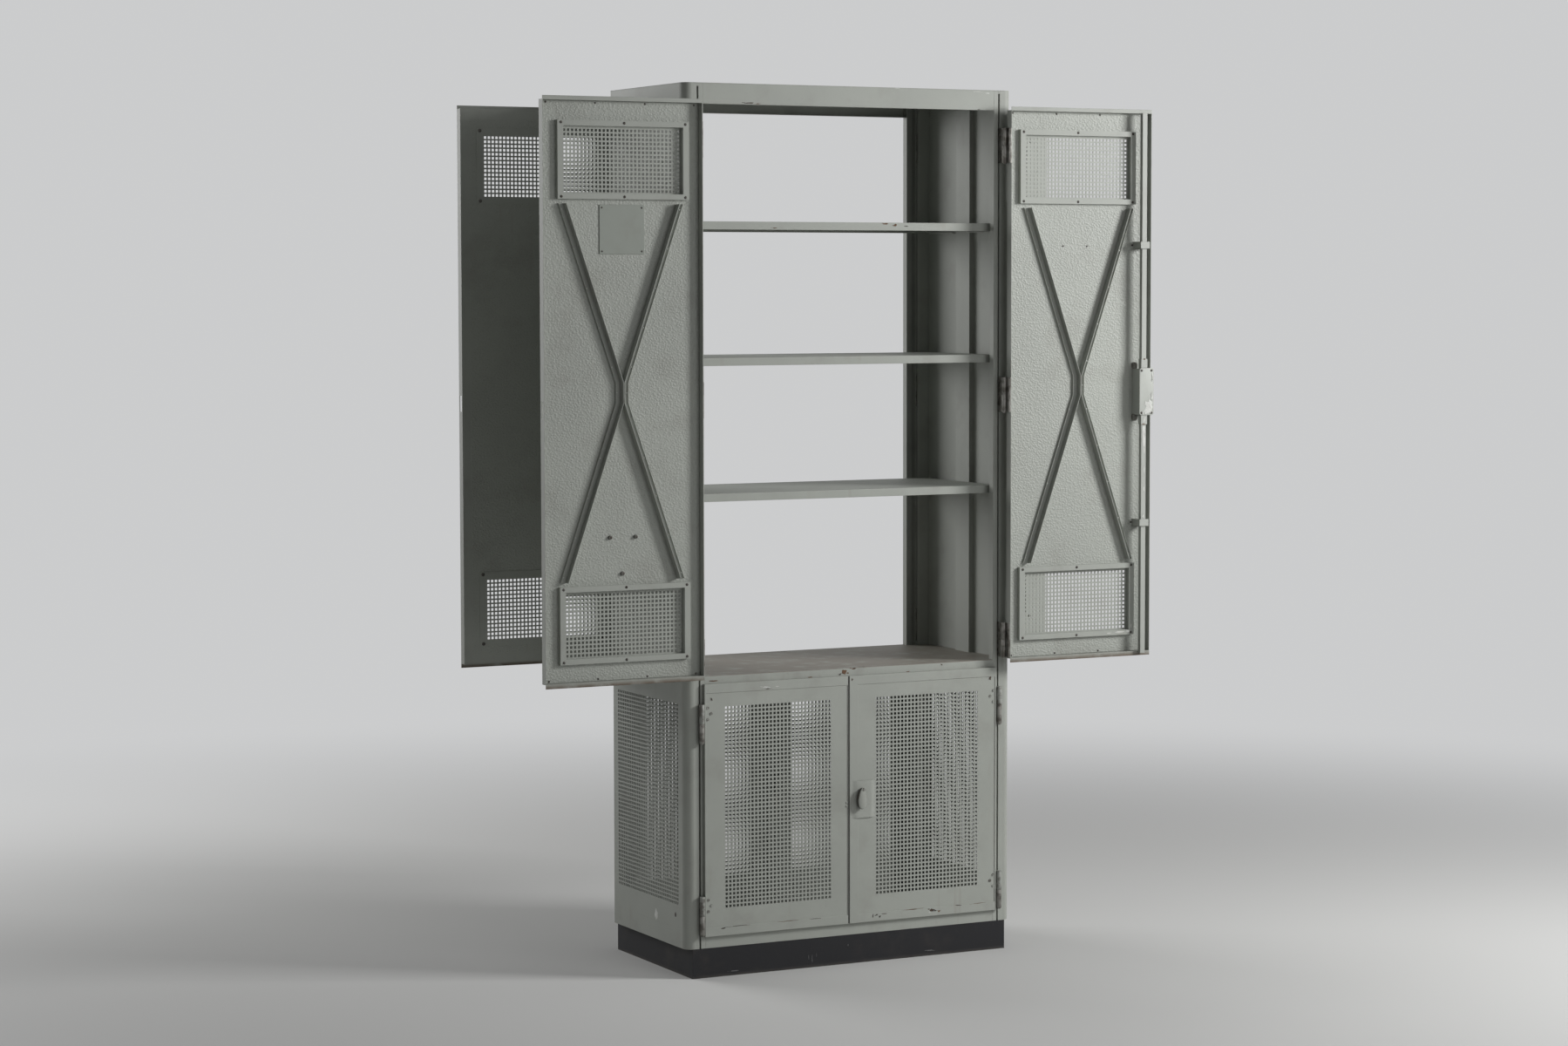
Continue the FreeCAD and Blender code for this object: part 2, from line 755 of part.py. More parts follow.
def make_body_leaves():
    """The carcass halves of all hinges, with the lower knuckles, and the pins."""
    leaves = []
    pins = []
    seat = "width / 2 - post_face"
    for index, low in enumerate(HINGES):
        name = "body_leaf_%d" % index
        half = low + " + hinge_length / 2 - knuckle_gap / 2"
        top = low + " + hinge_length"
        barrel, bore = knuckle(name, "knuckle_radius", AXIS, AXIS_Y, (low, half))
        x = (less(seat, "body_leaf"), seat)
        plate = box(name + "_plate", x,
                    (AXIS_Y + " + knuckle_radius + 1", plus(FRONT, "leaf_reach")), (low, top))
        tab = box(name + "_tab", x, (AXIS_Y, plus(FRONT, "leaf_reach")), (low, half))
        leaves.append(cut(name, fuse(name + "_whole", plate, tab, barrel), bore))
        pins.append(make_pin("pin_%d" % index, AXIS, AXIS_Y, low, top))
    for index, low in enumerate(LOWER_HINGES):
        name = "lower_body_leaf_%d" % index
        half = low + " + lower_hinge_length / 2 - knuckle_gap / 2"
        top = low + " + lower_hinge_length"
        barrel, bore = knuckle(name, "lower_knuckle", LOWER_AXIS, LOWER_Y, (low, half))
        x = (LOWER_AXIS, LOWER_AXIS + " + door_leaf")
        plate = box(name + "_plate", x,
                    (LOWER_Y + " + lower_knuckle + 1", plus(FRONT, "leaf_reach")), (low, top))
        tab = box(name + "_tab", x, (LOWER_Y + " + pin_radius", plus(FRONT, "leaf_reach")),
                  (low, half))
        leaves.append(cut(name, fuse(name + "_whole", plate, tab, barrel), bore))
        pins.append(make_pin("lower_pin_%d" % index, LOWER_AXIS, LOWER_Y, low, top))
    all_leaves = []
    all_pins = []
    for item in leaves:
        all_leaves += four(item.Name, item)
    for item in pins:
        all_pins += four(item.Name, item)
    keep("body_hinge_leaves", group("body_hinge_leaves", *all_leaves))
    keep("hinge_pins", group("hinge_pins", *all_pins))


def make_pin(name, x, y, low, top):
    """A hinge pin with its head below the lower knuckle."""
    shank = rod_z(name + "_shank", "pin_radius", x, y, (low + " - pin_head", top))
    head = rod_z(name + "_head", "pin_head_radius", x, y, (low + " - pin_head", low))
    return fuse(name, shank, head)


CASE_BACK = PANEL
CASE_FACE = RIM + " - rod_standoff - rod_thick - rod_play - case_lid"
ROD_NEAR = RIM + " - rod_standoff - rod_thick"
ROD_FAR = RIM + " - rod_standoff"


def make_lock_case():
    """The lock case with its lid, and the two rod guides."""
    x = (across("case_start"), across("case_start + case_width - 1.5"))
    z = ("case_low", "case_low + case_height")
    block = box("case_block", x, (CASE_FACE + " + case_lid", CASE_BACK), z)
    lid = box("case_lid", (x[0], across("case_start + case_width")),
              (CASE_FACE, CASE_FACE + " + case_lid"), z)
    hollow = box("case_hollow", (plus(x[0], "case_wall"), less(x[1], "case_wall")),
                 (CASE_FACE + " + case_lid", CASE_BACK + " - case_wall"),
                 (z[0] + " + case_wall", z[1] + " - case_wall"))
    way = box("case_way", (across("rod_centre - rod_width / 2 - rod_play"),
                           across("rod_centre + rod_width / 2 + rod_play")),
              (CASE_FACE + " + case_lid", ROD_FAR + " + rod_play"),
              (z[0] + " - 1", z[1] + " + 1"))
    hole = rod_y("case_hole", "spindle_radius + spindle_play", across("spindle_across"),
                 (CASE_BACK + " - case_wall - 1", CASE_BACK + " + 1"),
                 "case_low + case_height / 2")
    pieces = [cut("case", fuse("case_whole", block, lid), hollow, way, hole)]
    for tag, centre in (("upper", "guide_upper"), ("lower", "guide_lower")):
        name = "guide_" + tag
        half = "rod_width / 2 + rod_play + guide_wall"
        high = (centre + " - guide_height / 2", centre + " + guide_height / 2")
        solid = box(name + "_solid", (across(less("rod_centre", half)),
                                      across(plus("rod_centre", half))),
                    (ROD_NEAR + " - rod_play - guide_wall", PANEL), high)
        slot = box(name + "_slot", (across("rod_centre - rod_width / 2 - rod_play"),
                                    across("rod_centre + rod_width / 2 + rod_play")),
                   (ROD_NEAR + " - rod_play", ROD_FAR + " + rod_play"),
                   (high[0] + " - 1", high[1] + " + 1"))
        pieces.append(cut(name, solid, slot))
    return group("lock_case", *pieces)


def make_lock_rod(tag):
    """A flat rod with a thicker coupler where it leaves the case."""
    middle = "case_low + case_height / 2"
    inner = "cam_radius + rod_travel / 4"
    x = (across("rod_centre - rod_width / 2"), across("rod_centre + rod_width / 2"))
    wide = (across("rod_centre - rod_width / 2 - coupler_proud"),
            across("rod_centre + rod_width / 2 + coupler_proud"))
    if tag == "upper":
        z = (plus(middle, inner), "door_top - rod_top_gap")
        coupler_z = ("case_low + case_height + 0.5",
                     "case_low + case_height + 0.5 + coupler_length")
    else:
        z = ("door_bottom - rod_foot_drop", less(middle, inner))
        coupler_z = ("case_low - 0.5 - coupler_length", "case_low - 0.5")
    bar = box("bar_" + tag, x, (ROD_NEAR, ROD_FAR), z)
    coupler = box("coupler_" + tag, wide, (ROD_NEAR + " - coupler_proud", ROD_FAR), coupler_z)
    return fuse("rod_" + tag, bar, coupler)


def make_lock_handle():
    """The lever on the outer face, its rose, the spindle and the cam in the case."""
    centre = "case_low + case_height / 2"
    x = across("spindle_across")
    spindle = rod_y("lock_spindle", "spindle_radius", x,
                    (ROD_FAR + " + 4", SKIN + " + lever_standoff"), centre)
    cam = rod_y("lock_cam", "cam_radius", x,
                (CASE_BACK + " - case_wall - 1 - cam_thick", CASE_BACK + " - case_wall - 1"),
                centre)
    rose = rod_y("lock_rose", "rose_radius", x,
                 (SKIN + " + 0.4", SKIN + " + 0.4 + rose_thick"), centre)
    hub = rod_y("lock_hub", "lever_width / 2", x,
                (SKIN + " + lever_standoff - lever_thick", SKIN + " + lever_standoff"), centre)
    arm = box("lock_arm", (less(x, "lever_length"), x),
              (SKIN + " + lever_standoff - lever_thick", SKIN + " + lever_standoff"),
              (centre + " - lever_width / 2", centre + " + lever_width / 2"))
    end = rod_y("lock_end", "lever_width / 2", less(x, "lever_length"),
                (SKIN + " + lever_standoff - lever_thick", SKIN + " + lever_standoff"), centre)
    return fuse("lock_handle", spindle, cam, rose, hub, arm, end)


def make_upper_doors():
    """Four upper doors: each with tray, liner, vents, braces and hinge leaves."""
    locked = {
        "tray": make_tray("lock", True),
        "panel": make_panel("lock", True),
    }
    plain = {
        "tray": make_tray("plain", False),
        "panel": make_panel("plain", False),
    }
    shared = {
        "vents": make_vents("door"),
        "braces": make_braces("door"),
        "hinge_leaves": make_door_leaves("door"),
    }
    for end in ("front", "rear"):
        for side in ("left", "right"):
            kinds = dict(shared)
            kinds.update(locked if side == "right" else plain)
            for kind, item in kinds.items():
                node = "upper_door_%s_%s_%s" % (end, side, kind)
                if end == "rear" and side == "left" and kind == "panel":
                    item = doc.getObject("panel_plain_sheet")
                put(node, item, end, side)
    locks = {
        "case": make_lock_case(),
        "upper_rod": make_lock_rod("upper"),
        "lower_rod": make_lock_rod("lower"),
        "handle": make_lock_handle(),
    }
    for end in ("front", "rear"):
        for kind, item in locks.items():
            put("lock_%s_%s" % (end, kind), item, end, "right")


def put(node, item, end, side):
    """Keep a right front piece at the wanted corner."""
    if side == "left":
        item = mirrored(node + "_sideways", item, SIDEWAYS)
    if end == "rear":
        item = mirrored(node + "_depthways", item, DEPTHWAYS)
    if end == "front" and side == "right":
        item = group(node + "_set", item)
    keep(node, item)


# The right front lower door, closed; the left one is drawn on this side too.
LOWER_OUT = "width / 2 - lower_side"
LOWER_AXIS = "width / 2 - lower_axis_side"
LOWER_Y = "0 - depth / 2 - lower_ahead"
LOWER_BACK = LOWER_Y + " + lower_depth"
LOWER_IN = LOWER_Y + " + door_sheet"
LOWER_HINGES = ("lower_bottom + lower_hinge_foot",
                "lower_top - lower_hinge_head - lower_hinge_length")


def make_lower_frame(tag, inner, band, handle):
    """A lower door's folded frame: bands on its face and flanges round its edge."""
    name = "lower_frame_" + tag
    z = ("lower_bottom", "lower_top")
    block = box(name + "_block", (inner, LOWER_OUT), (LOWER_Y, LOWER_BACK), z)
    hollow = box(name + "_hollow", (plus(inner, "door_sheet"), LOWER_OUT + " - door_sheet"),
                 (LOWER_IN, LOWER_BACK + " + 1"),
                 ("lower_bottom + door_sheet", "lower_top - door_sheet"))
    window = box(name + "_window", (plus(inner, band), LOWER_OUT + " - band_edge"),
                 (LOWER_Y + " - 1", LOWER_IN + " + 1"),
                 ("lower_bottom + band_bottom", "lower_top - band_top"))
    cuts = [hollow, window]
    for index, low in enumerate(LOWER_HINGES):
        cuts.append(box("%s_notch_%d" % (name, index),
                        (LOWER_OUT + " - door_sheet - 1", LOWER_OUT + " + 1"),
                        (LOWER_IN + " + door_sheet", LOWER_IN + " + 2 * door_sheet"),
                        (low, low + " + lower_hinge_length")))
    shell = cut(name + "_shell", block, *cuts)
    if not handle:
        return shell
    pad = box(name + "_pad", ("pad_start", "pad_start + pad_width"),
              (LOWER_Y + " - pad_proud", LOWER_IN), ("pad_low", "pad_low + pad_height"))
    hole = rod_y(name + "_hole", "knob_spindle + knob_play", "knob_across",
                 (LOWER_Y + " - pad_proud - 1", LOWER_IN + " + 1"), "knob_centre")
    return cut(name, fuse(name + "_whole", shell, pad), hole)


def make_door_openings():
    """The grid of openings that the infill of each lower door gets."""
    column_count = 6
    row_count = 10
    columns = steps("door_mesh_inner", less(LOWER_OUT, "door_mesh_outer"), column_count)
    rows = steps("lower_bottom + door_mesh_foot", "lower_top - door_mesh_head", row_count)
    through = (LOWER_IN + " - 1", LOWER_IN + " + door_sheet + 1")
    openings = []
    for index, column in enumerate(columns):
        for level, row in enumerate(rows):
            openings.append(box("door_opening_%d_%d" % (index, level), column, through, row))
    return group("door_openings", *openings)


def make_lower_sheet(tag, start, openings, handle):
    """The lower door's perforated infill."""
    name = "lower_sheet_" + tag
    plate = box(name + "_plate", (start, LOWER_OUT + " - door_sheet"),
                (LOWER_IN, LOWER_IN + " + door_sheet"),
                ("lower_bottom + band_bottom - sheet_lap", "lower_top - band_top + sheet_lap"))
    infill = cut(name, plate, openings)
    if not handle:
        return infill
    hole = rod_y(name + "_hole", "knob_spindle + knob_play", "knob_across",
                 (LOWER_IN + " - 1", LOWER_IN + " + door_sheet + 1"), "knob_centre")
    return cut(name + "_holed", infill, hole)


def make_lower_leaves():
    """The lower door's hinge leaves behind its sheet, with three rivets each."""
    pieces = []
    for index, low in enumerate(LOWER_HINGES):
        name = "lower_leaf_%d" % index
        half = low + " + lower_hinge_length / 2 + knuckle_gap / 2"
        top = low + " + lower_hinge_length"
        barrel, bore = knuckle(name, "lower_knuckle", LOWER_AXIS, LOWER_Y, (half, top))
        y = (LOWER_IN + " + door_sheet", LOWER_IN + " + 2 * door_sheet")
        plate = box(name + "_plate", (LOWER_OUT + " - lower_leaf_reach",
                                      LOWER_AXIS + " - pin_radius - 1"), y, (half, top))
        pieces.append(cut(name, fuse(name + "_whole", plate, barrel), bore))
        first = half + " + rivet_rise"
        spots = (("rivet_edge", first), ("rivet_inner", first + " + rivet_pitch"),
                 ("rivet_edge", first + " + 2 * rivet_pitch"))
        for spot, (inset, height) in enumerate(spots):
            pieces.append(rod_y("%s_rivet_%d" % (name, spot), "rivet_radius",
                                LOWER_OUT + " - " + inset,
                                (LOWER_IN + " - rivet_proud", LOWER_IN), height))
    return group("lower_leaves", *pieces)


def make_turn_handle():
    """An oval turn handle on its spindle, with the latch tongue behind the door."""
    x = "knob_across"
    centre = "knob_centre"
    face = LOWER_Y + " - pad_proud"
    spindle = rod_y("knob_shaft", "knob_spindle", x,
                    (face + " - knob_neck", LOWER_BACK + " + tongue_gap + tongue_thick"), centre)
    y = (face + " - knob_neck - knob_thick", face + " - knob_neck")
    bar = box("knob_bar", (x + " - knob_width / 2", x + " + knob_width / 2"), y,
              (centre + " - (knob_height - knob_width) / 2",
               centre + " + (knob_height - knob_width) / 2"))
    top = rod_y("knob_top", "knob_width / 2", x, y,
                centre + " + (knob_height - knob_width) / 2")
    foot = rod_y("knob_foot", "knob_width / 2", x, y,
                 centre + " - (knob_height - knob_width) / 2")
    back = (LOWER_BACK + " + tongue_gap", LOWER_BACK + " + tongue_gap + tongue_thick")
    tongue = box("knob_tongue", (x + " - tongue_width / 2", x + " + tongue_width / 2"), back,
                 (centre + " - tongue_reach", centre + " + tongue_width / 2"))
    collar = rod_y("knob_collar", "knob_width / 2 - 2", x, (face + " - knob_neck", face + " - 0.4"),
                   centre)
    return fuse("turn_handle", spindle, bar, top, foot, tongue, collar)


def make_lower_doors():
    """Four lower doors and the two turn handles."""
    leaves = make_lower_leaves()
    openings = make_door_openings()
    kinds = {
        "right": (make_lower_frame("right", "0 - meet_right", "band_meet", True),
                  make_lower_sheet("right", "band_meet - meet_right - sheet_lap", openings, True)),
        "left": (make_lower_frame("left", "meet_left", "band_edge", False),
                 make_lower_sheet("left", "meet_left + door_sheet", openings, False)),
    }
    handle = make_turn_handle()
    for end in ("front", "rear"):
        for side in ("left", "right"):
            frame, infill = kinds[side]
            put("lower_door_%s_%s_frame" % (end, side), frame, end, side)
            put("lower_door_%s_%s_sheet" % (end, side), infill, end, side)
            put("lower_door_%s_%s_hinge_leaves" % (end, side), leaves, end, side)
        put("lower_handle_%s" % end, handle, end, "right")


make_plinth()
make_posts()
make_stiles()
make_headers()
make_rails()
make_base_panel()
make_sides()
make_deck()
make_shelves()
make_supports()
make_cap()
make_body_leaves()
make_upper_doors()
make_lower_doors()
doc.recompute()

# Nothing is written unless every feature recomputed and every piece is sound.
broken = [item.Name for item in doc.Objects
          if "Invalid" in item.State or "Error" in item.State]
for node, item in nodes.items():
    if item.Shape.isNull() or not item.Shape.isValid() or not item.Shape.Solids:
        broken.append(node)
if broken:
    raise RuntimeError("unsound pieces: " + ", ".join(broken))

os.makedirs("parts", exist_ok=True)
for node, item in nodes.items():
    item.Shape.exportStep("parts/" + node + ".step")
    print(node, len(item.Shape.Solids), "solids", round(item.Shape.Volume), "mm3")
print(len(nodes), "nodes")
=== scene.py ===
# %% [markdown]
# # A steel storage cabinet, dressed in Blender
#
# The construction comes in as a fixed frame: every sheet, post, hinge and rod at its real size.
# This lesson gives those pieces their paint and wear, and makes what a plain sheet can't show:
# the square perforations, the grained faces of the doors, the screws and the chips in the paint.
# Everything is in metres, with X to the right, Y to the rear and Z up.

# %% The frame
import bmesh
import bpy
import math
import random
from mathutils import Matrix, Vector


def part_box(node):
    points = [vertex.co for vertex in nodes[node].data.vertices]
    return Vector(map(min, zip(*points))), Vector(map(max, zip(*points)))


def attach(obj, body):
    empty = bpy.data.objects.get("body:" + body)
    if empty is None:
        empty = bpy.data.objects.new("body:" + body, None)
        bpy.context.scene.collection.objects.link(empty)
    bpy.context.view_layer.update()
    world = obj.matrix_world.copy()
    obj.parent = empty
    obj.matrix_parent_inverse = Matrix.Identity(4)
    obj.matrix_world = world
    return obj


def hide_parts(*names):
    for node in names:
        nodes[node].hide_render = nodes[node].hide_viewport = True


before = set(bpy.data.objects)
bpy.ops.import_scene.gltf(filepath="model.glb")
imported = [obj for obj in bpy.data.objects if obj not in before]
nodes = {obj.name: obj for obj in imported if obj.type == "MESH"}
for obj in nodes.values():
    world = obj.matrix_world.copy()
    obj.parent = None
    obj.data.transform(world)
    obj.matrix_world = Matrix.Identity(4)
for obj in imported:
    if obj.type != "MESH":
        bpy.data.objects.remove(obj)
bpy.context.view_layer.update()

# %% [markdown]
# ## The camera
#
# A camera can be placed by eye, but a picture of straight posts and shelves allows more: the focal
# length, place and turn here were fitted to the corners of the cabinet in the photograph. The
# lens value follows from the focal length in pixels and the width of the picture.

# %% The camera at the photograph's viewpoint
PICTURE_WIDTH = 1799
FOCAL_PIXELS = 4044.1
SENSOR_WIDTH = 36.0
CAMERA_PLACE = Vector((-3.7754, -7.2608, 1.5536))
YAW = math.radians(-27.04)
TILT = math.radians(3.865)
ROLL = math.radians(-0.101)


def placed(name, data):
    """A new object with this data, linked into the scene."""
    item = bpy.data.objects.new(name, data)
    bpy.context.scene.collection.objects.link(item)
    return item


ahead = Vector((-math.sin(YAW) * math.cos(TILT), math.cos(YAW) * math.cos(TILT), -math.sin(TILT)))
level = Vector((math.cos(YAW), math.sin(YAW), 0))
upright = level.cross(ahead)
right = level * math.cos(ROLL) + upright * math.sin(ROLL)
up = upright * math.cos(ROLL) - level * math.sin(ROLL)
lens = bpy.data.cameras.new("camera")
lens.sensor_fit = "HORIZONTAL"
lens.sensor_width = SENSOR_WIDTH
lens.lens = SENSOR_WIDTH * FOCAL_PIXELS / PICTURE_WIDTH
camera = placed("camera", lens)
camera.matrix_world = Matrix.Translation(CAMERA_PLACE) @ Matrix((right, up, -ahead)).transposed().to_4x4()
bpy.context.scene.camera = camera
print("lens", round(lens.lens, 2), "mm")

# %% [markdown]
# ## Node helpers
#
# Written out in full, a node tree takes many lines of making and linking. Here a few helpers place
# a node with its values and links, mix colours, map ranges and make noise. Everything below that
# has a material is built with them.

# %% Helpers for node trees


def add(tree, kind, inputs=None, **settings):
    """A node with its settings, and with values or links on its inputs."""
    item = tree.nodes.new(kind)
    for key, value in settings.items():
        setattr(item, key, value)
    for key, value in (inputs or {}).items():
        if isinstance(value, bpy.types.NodeSocket):
            tree.links.new(value, item.inputs[key])
        else:
            item.inputs[key].default_value = value
    return item


def shader_group(name, inputs, outputs):
    """An empty node group with named inputs and outputs."""
    tree = bpy.data.node_groups.new(name, "ShaderNodeTree")
    for label, kind, value in inputs:
        socket = tree.interface.new_socket(name=label, in_out="INPUT", socket_type=kind)
        socket.default_value = value
    for label, kind in outputs:
        tree.interface.new_socket(name=label, in_out="OUTPUT", socket_type=kind)
    return tree, tree.nodes.new("NodeGroupInput").outputs, tree.nodes.new("NodeGroupOutput").inputs


def grouped(tree, group, inputs):
    """A node that places one of the shader groups, with values or links on its inputs."""
    return add(tree, "ShaderNodeGroup", inputs, node_tree=group).outputs


def mixed(tree, factor, first, second):
    """A colour between two, by a factor."""
    item = add(tree, "ShaderNodeMix", {0: factor, 6: first, 7: second}, data_type="RGBA")
    return item.outputs[2]


def ranged(tree, value, low, high, to_low=0.0, to_high=1.0):
    """A value mapped from one range to another, smoothly and clamped."""
    item = add(tree, "ShaderNodeMapRange",
               {"Value": value, "From Min": low, "From Max": high, "To Min": to_low, "To Max": to_high},
               interpolation_type="SMOOTHSTEP")
    return item.outputs[0]


def noise(tree, vector, scale, detail=3.0, roughness=0.55):
    item = add(tree, "ShaderNodeTexNoise",
               {"Vector": vector, "Scale": scale, "Detail": detail, "Roughness": roughness})
    return item.outputs["Fac"]


def math_of(tree, first, second, operation="ADD"):
    return add(tree, "ShaderNodeMath", {0: first, 1: second}, operation=operation).outputs[0]


def times(tree, first, second):
    return math_of(tree, first, second, "MULTIPLY")


def object_place(tree):
    """Where a shaded point lies in its object, in metres."""
    return add(tree, "ShaderNodeTexCoord").outputs["Object"]


def new_material(name):
    """A material, its node tree and its Principled shader."""
    material = bpy.data.materials.new(name)
    material.use_nodes = True
    return material, material.node_tree, material.node_tree.nodes["Principled BSDF"]


def shown(tree):
    """One for rays that show the surroundings: the camera's, in gloss and through glass."""
    rays = add(tree, "ShaderNodeLightPath").outputs
    direct = math_of(tree, rays["Is Camera Ray"], rays["Is Glossy Ray"])
    return add(tree, "ShaderNodeMath", {0: direct, 1: rays["Is Transmission Ray"]},
               operation="ADD", use_clamp=True).outputs[0]


FLOAT = "NodeSocketFloat"
COLOUR = "NodeSocketColor"
GREY = (0.5, 0.5, 0.5, 1)
print("node helpers ready")

# %% [markdown]
# ## Floor and light
#
# In the photograph the light falls from the right and the front, near enough to the object that
# the right-hand doors are brighter than the left-hand ones, and faces turned to the left go dark.
# One soft lamp placed close on the right gives that by itself. A sun would light both sides alike.
# A wide lamp behind, a faint one in front and a dim world keep the other sides readable.
#
# The floor would turn dark far from the lamps and show a horizon. So, for the camera and in
# reflections, it fades with distance into the tone of the backdrop.

# %% Floor, lamps and world
FLOOR_SIZE = 60.0
FLOOR_COLOUR = (0.62, 0.62, 0.61, 1)
BACKDROP = (0.60, 0.605, 0.61, 1)
FADE_NEAR, FADE_FAR = 1.3, 4.6
WORLD_LIGHT = 0.16


def lamp(name, place, target, size, watts):
    """A square soft lamp that faces a target point."""
    data = bpy.data.lights.new(name, "AREA")
    data.size = size
    data.energy = watts
    item = placed(name, data)
    item.location = place
    item.rotation_euler = (Vector(target) - Vector(place)).to_track_quat("-Z", "Y").to_euler()


floor_mesh = bpy.data.meshes.new("floor")
half = FLOOR_SIZE / 2
floor_mesh.from_pydata([(-half, -half, 0), (half, -half, 0), (half, half, 0), (-half, half, 0)],
                       [], [(0, 1, 2, 3)])
floor = placed("floor", floor_mesh)
floor_material, tree, shader = new_material("studio_floor")
shader.inputs["Base Color"].default_value = FLOOR_COLOUR
shader.inputs["Roughness"].default_value = 0.95
shader.inputs["Specular IOR Level"].default_value = 0.15
reach = add(tree, "ShaderNodeVectorMath", {0: object_place(tree)}, operation="LENGTH").outputs["Value"]
faded = times(tree, ranged(tree, reach, FADE_NEAR, FADE_FAR), shown(tree))
far_tone = add(tree, "ShaderNodeEmission", {"Color": BACKDROP})
blend = add(tree, "ShaderNodeMixShader", {0: faded, 1: shader.outputs[0], 2: far_tone.outputs[0]})
tree.links.new(blend.outputs[0], tree.nodes["Material Output"].inputs["Surface"])
floor_mesh.materials.append(floor_material)

lamp("key_lamp", (2.75, -2.15, 2.25), (0.25, 0, 0.9), 1.0, 108)
lamp("front_lamp", (1.2, -4.8, 1.9), (0, 0, 0.8), 2.2, 30)
lamp("rear_lamp", (-2.2, 3.6, 2.4), (0, 0, 1.0), 2.6, 95)

world = bpy.data.worlds.new("studio")
world.use_nodes = True
bpy.context.scene.world = world
backdrop = world.node_tree.nodes["Background"]
backdrop.inputs["Color"].default_value = BACKDROP
strength = ranged(world.node_tree, shown(world.node_tree), 0.0, 1.0, WORLD_LIGHT, 1.0)
world.node_tree.links.new(strength, backdrop.inputs["Strength"])
bpy.context.scene.view_settings.view_transform = "Standard"
print("three lamps and a pale floor")

# %% [markdown]
# ## Shader groups
#
# The same few effects return on every painted sheet: a cloudy unevenness in the paint, edges
# rubbed down to the steel, stains that run downwards, and the leather-like grain pressed into the
# door faces. Each could be drawn again in every material. It is better built once as a node group
# with named inputs, so that each material only sets its own values.

# %% [markdown]
# The grain on the real doors is rolled into the sheet: rounded pebbles a few millimetres across,
# parted by valleys. A smooth Voronoi texture, read as the distance to each cell's middle, gives such
# domes, once the cells are stretched and bent a little so that they don't look like a net.

# %% The grain group
grain, source, sink = shader_group("pressed grain", [("Scale", FLOAT, 185.0), ("Relief", FLOAT, 1.0)],
                                   [("Height", FLOAT)])
place = object_place(grain)
leaning = add(grain, "ShaderNodeMapping",
              {"Vector": place, "Rotation": (0.0, 0.5, 0.3), "Scale": (1.0, 1.0, 1.2)}).outputs[0]
bend = add(grain, "ShaderNodeTexNoise", {"Vector": leaning, "Scale": 120.0, "Detail": 1.0})
shifted = add(grain, "ShaderNodeVectorMath", {0: bend.outputs["Color"], 1: (0.0022, 0.0022, 0.0022)},
              operation="MULTIPLY")
moved = add(grain, "ShaderNodeVectorMath", {0: leaning, 1: shifted.outputs[0]}, operation="ADD")
cells = add(grain, "ShaderNodeTexVoronoi",
            {"Vector": moved.outputs[0], "Scale": source["Scale"], "Smoothness": 0.2}, feature="SMOOTH_F1")
pebbles = ranged(grain, cells.outputs["Distance"], 0.72, 0.12)
dimples = noise(grain, moved.outputs[0], 520.0, 1.0)
mixed_height = math_of(grain, pebbles, times(grain, dimples, 0.25))
grain.links.new(times(grain, mixed_height, source["Relief"]), sink["Height"])
print("grain group:", len(grain.nodes), "nodes")

# %% [markdown]
# On the outside of the tall doors the grain stops short of the edges: the sheet has a smooth
# border as wide as the fold. The border follows from the distance to the skin's four edges, and
# the two doors of a side share one group because they are mirror images about X = 0.

# %% The smooth border group
BORDER = 0.021
skin_low, skin_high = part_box("upper_door_front_right_tray")
lip_low, lip_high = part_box("upper_door_front_right_panel")

border, source, sink = shader_group("smooth border", [("Border", FLOAT, BORDER)], [("Inside", FLOAT)])
parts = add(border, "ShaderNodeSeparateXYZ", {0: object_place(border)}).outputs
aside = add(border, "ShaderNodeMath", {0: parts["X"]}, operation="ABSOLUTE").outputs[0]
nearest = math_of(border, aside, skin_low.x, "SUBTRACT")
for distance in (math_of(border, skin_high.x, aside, "SUBTRACT"),
                 math_of(border, parts["Z"], lip_low.z, "SUBTRACT"),
                 math_of(border, lip_high.z, parts["Z"], "SUBTRACT")):
    nearest = math_of(border, nearest, distance, "MINIMUM")
past = math_of(border, nearest, source["Border"], "SUBTRACT")
border.links.new(ranged(border, past, -0.001, 0.001), sink["Inside"])
print("border group:", len(border.nodes), "nodes")

# %% [markdown]
# Sprayed paint that has aged indoors is never one flat tone: it is greyer in some places, and dirt
# settles in others. Noise in three sizes, from wider than a hand down to specks, varies the colour,
# and the widest of them the gloss too.

# %% The cloudy paint group
cloudy, source, sink = shader_group(
    "cloudy paint",
    [("Paint", COLOUR, GREY), ("Dirt", COLOUR, (0.12, 0.10, 0.08, 1)),
     ("Dirt Amount", FLOAT, 0.25), ("Gloss Roughness", FLOAT, 0.42)],
    [("Color", COLOUR), ("Roughness", FLOAT)])
place = object_place(cloudy)
wide = noise(cloudy, place, 3.2, 4.0)
fine = noise(cloudy, place, 130.0, 2.0)
tone = ranged(cloudy, wide, 0.32, 0.68, 0.93, 1.05)
toned = add(cloudy, "ShaderNodeMix", {0: 1.0, 6: source["Paint"], 7: tone}, data_type="RGBA",
            blend_type="MULTIPLY").outputs[2]
specks = ranged(cloudy, fine, 0.60, 0.78)
patches = ranged(cloudy, noise(cloudy, place, 11.0, 5.0), 0.50, 0.74)
dirty = math_of(cloudy, times(cloudy, specks, 0.35), patches)
amount = times(cloudy, dirty, source["Dirt Amount"])
cloudy.links.new(mixed(cloudy, amount, toned, source["Dirt"]), sink["Color"])
cloudy.links.new(math_of(cloudy, source["Gloss Roughness"], times(cloudy, wide, 0.16)), sink["Roughness"])
print("cloudy paint group:", len(cloudy.nodes), "nodes")

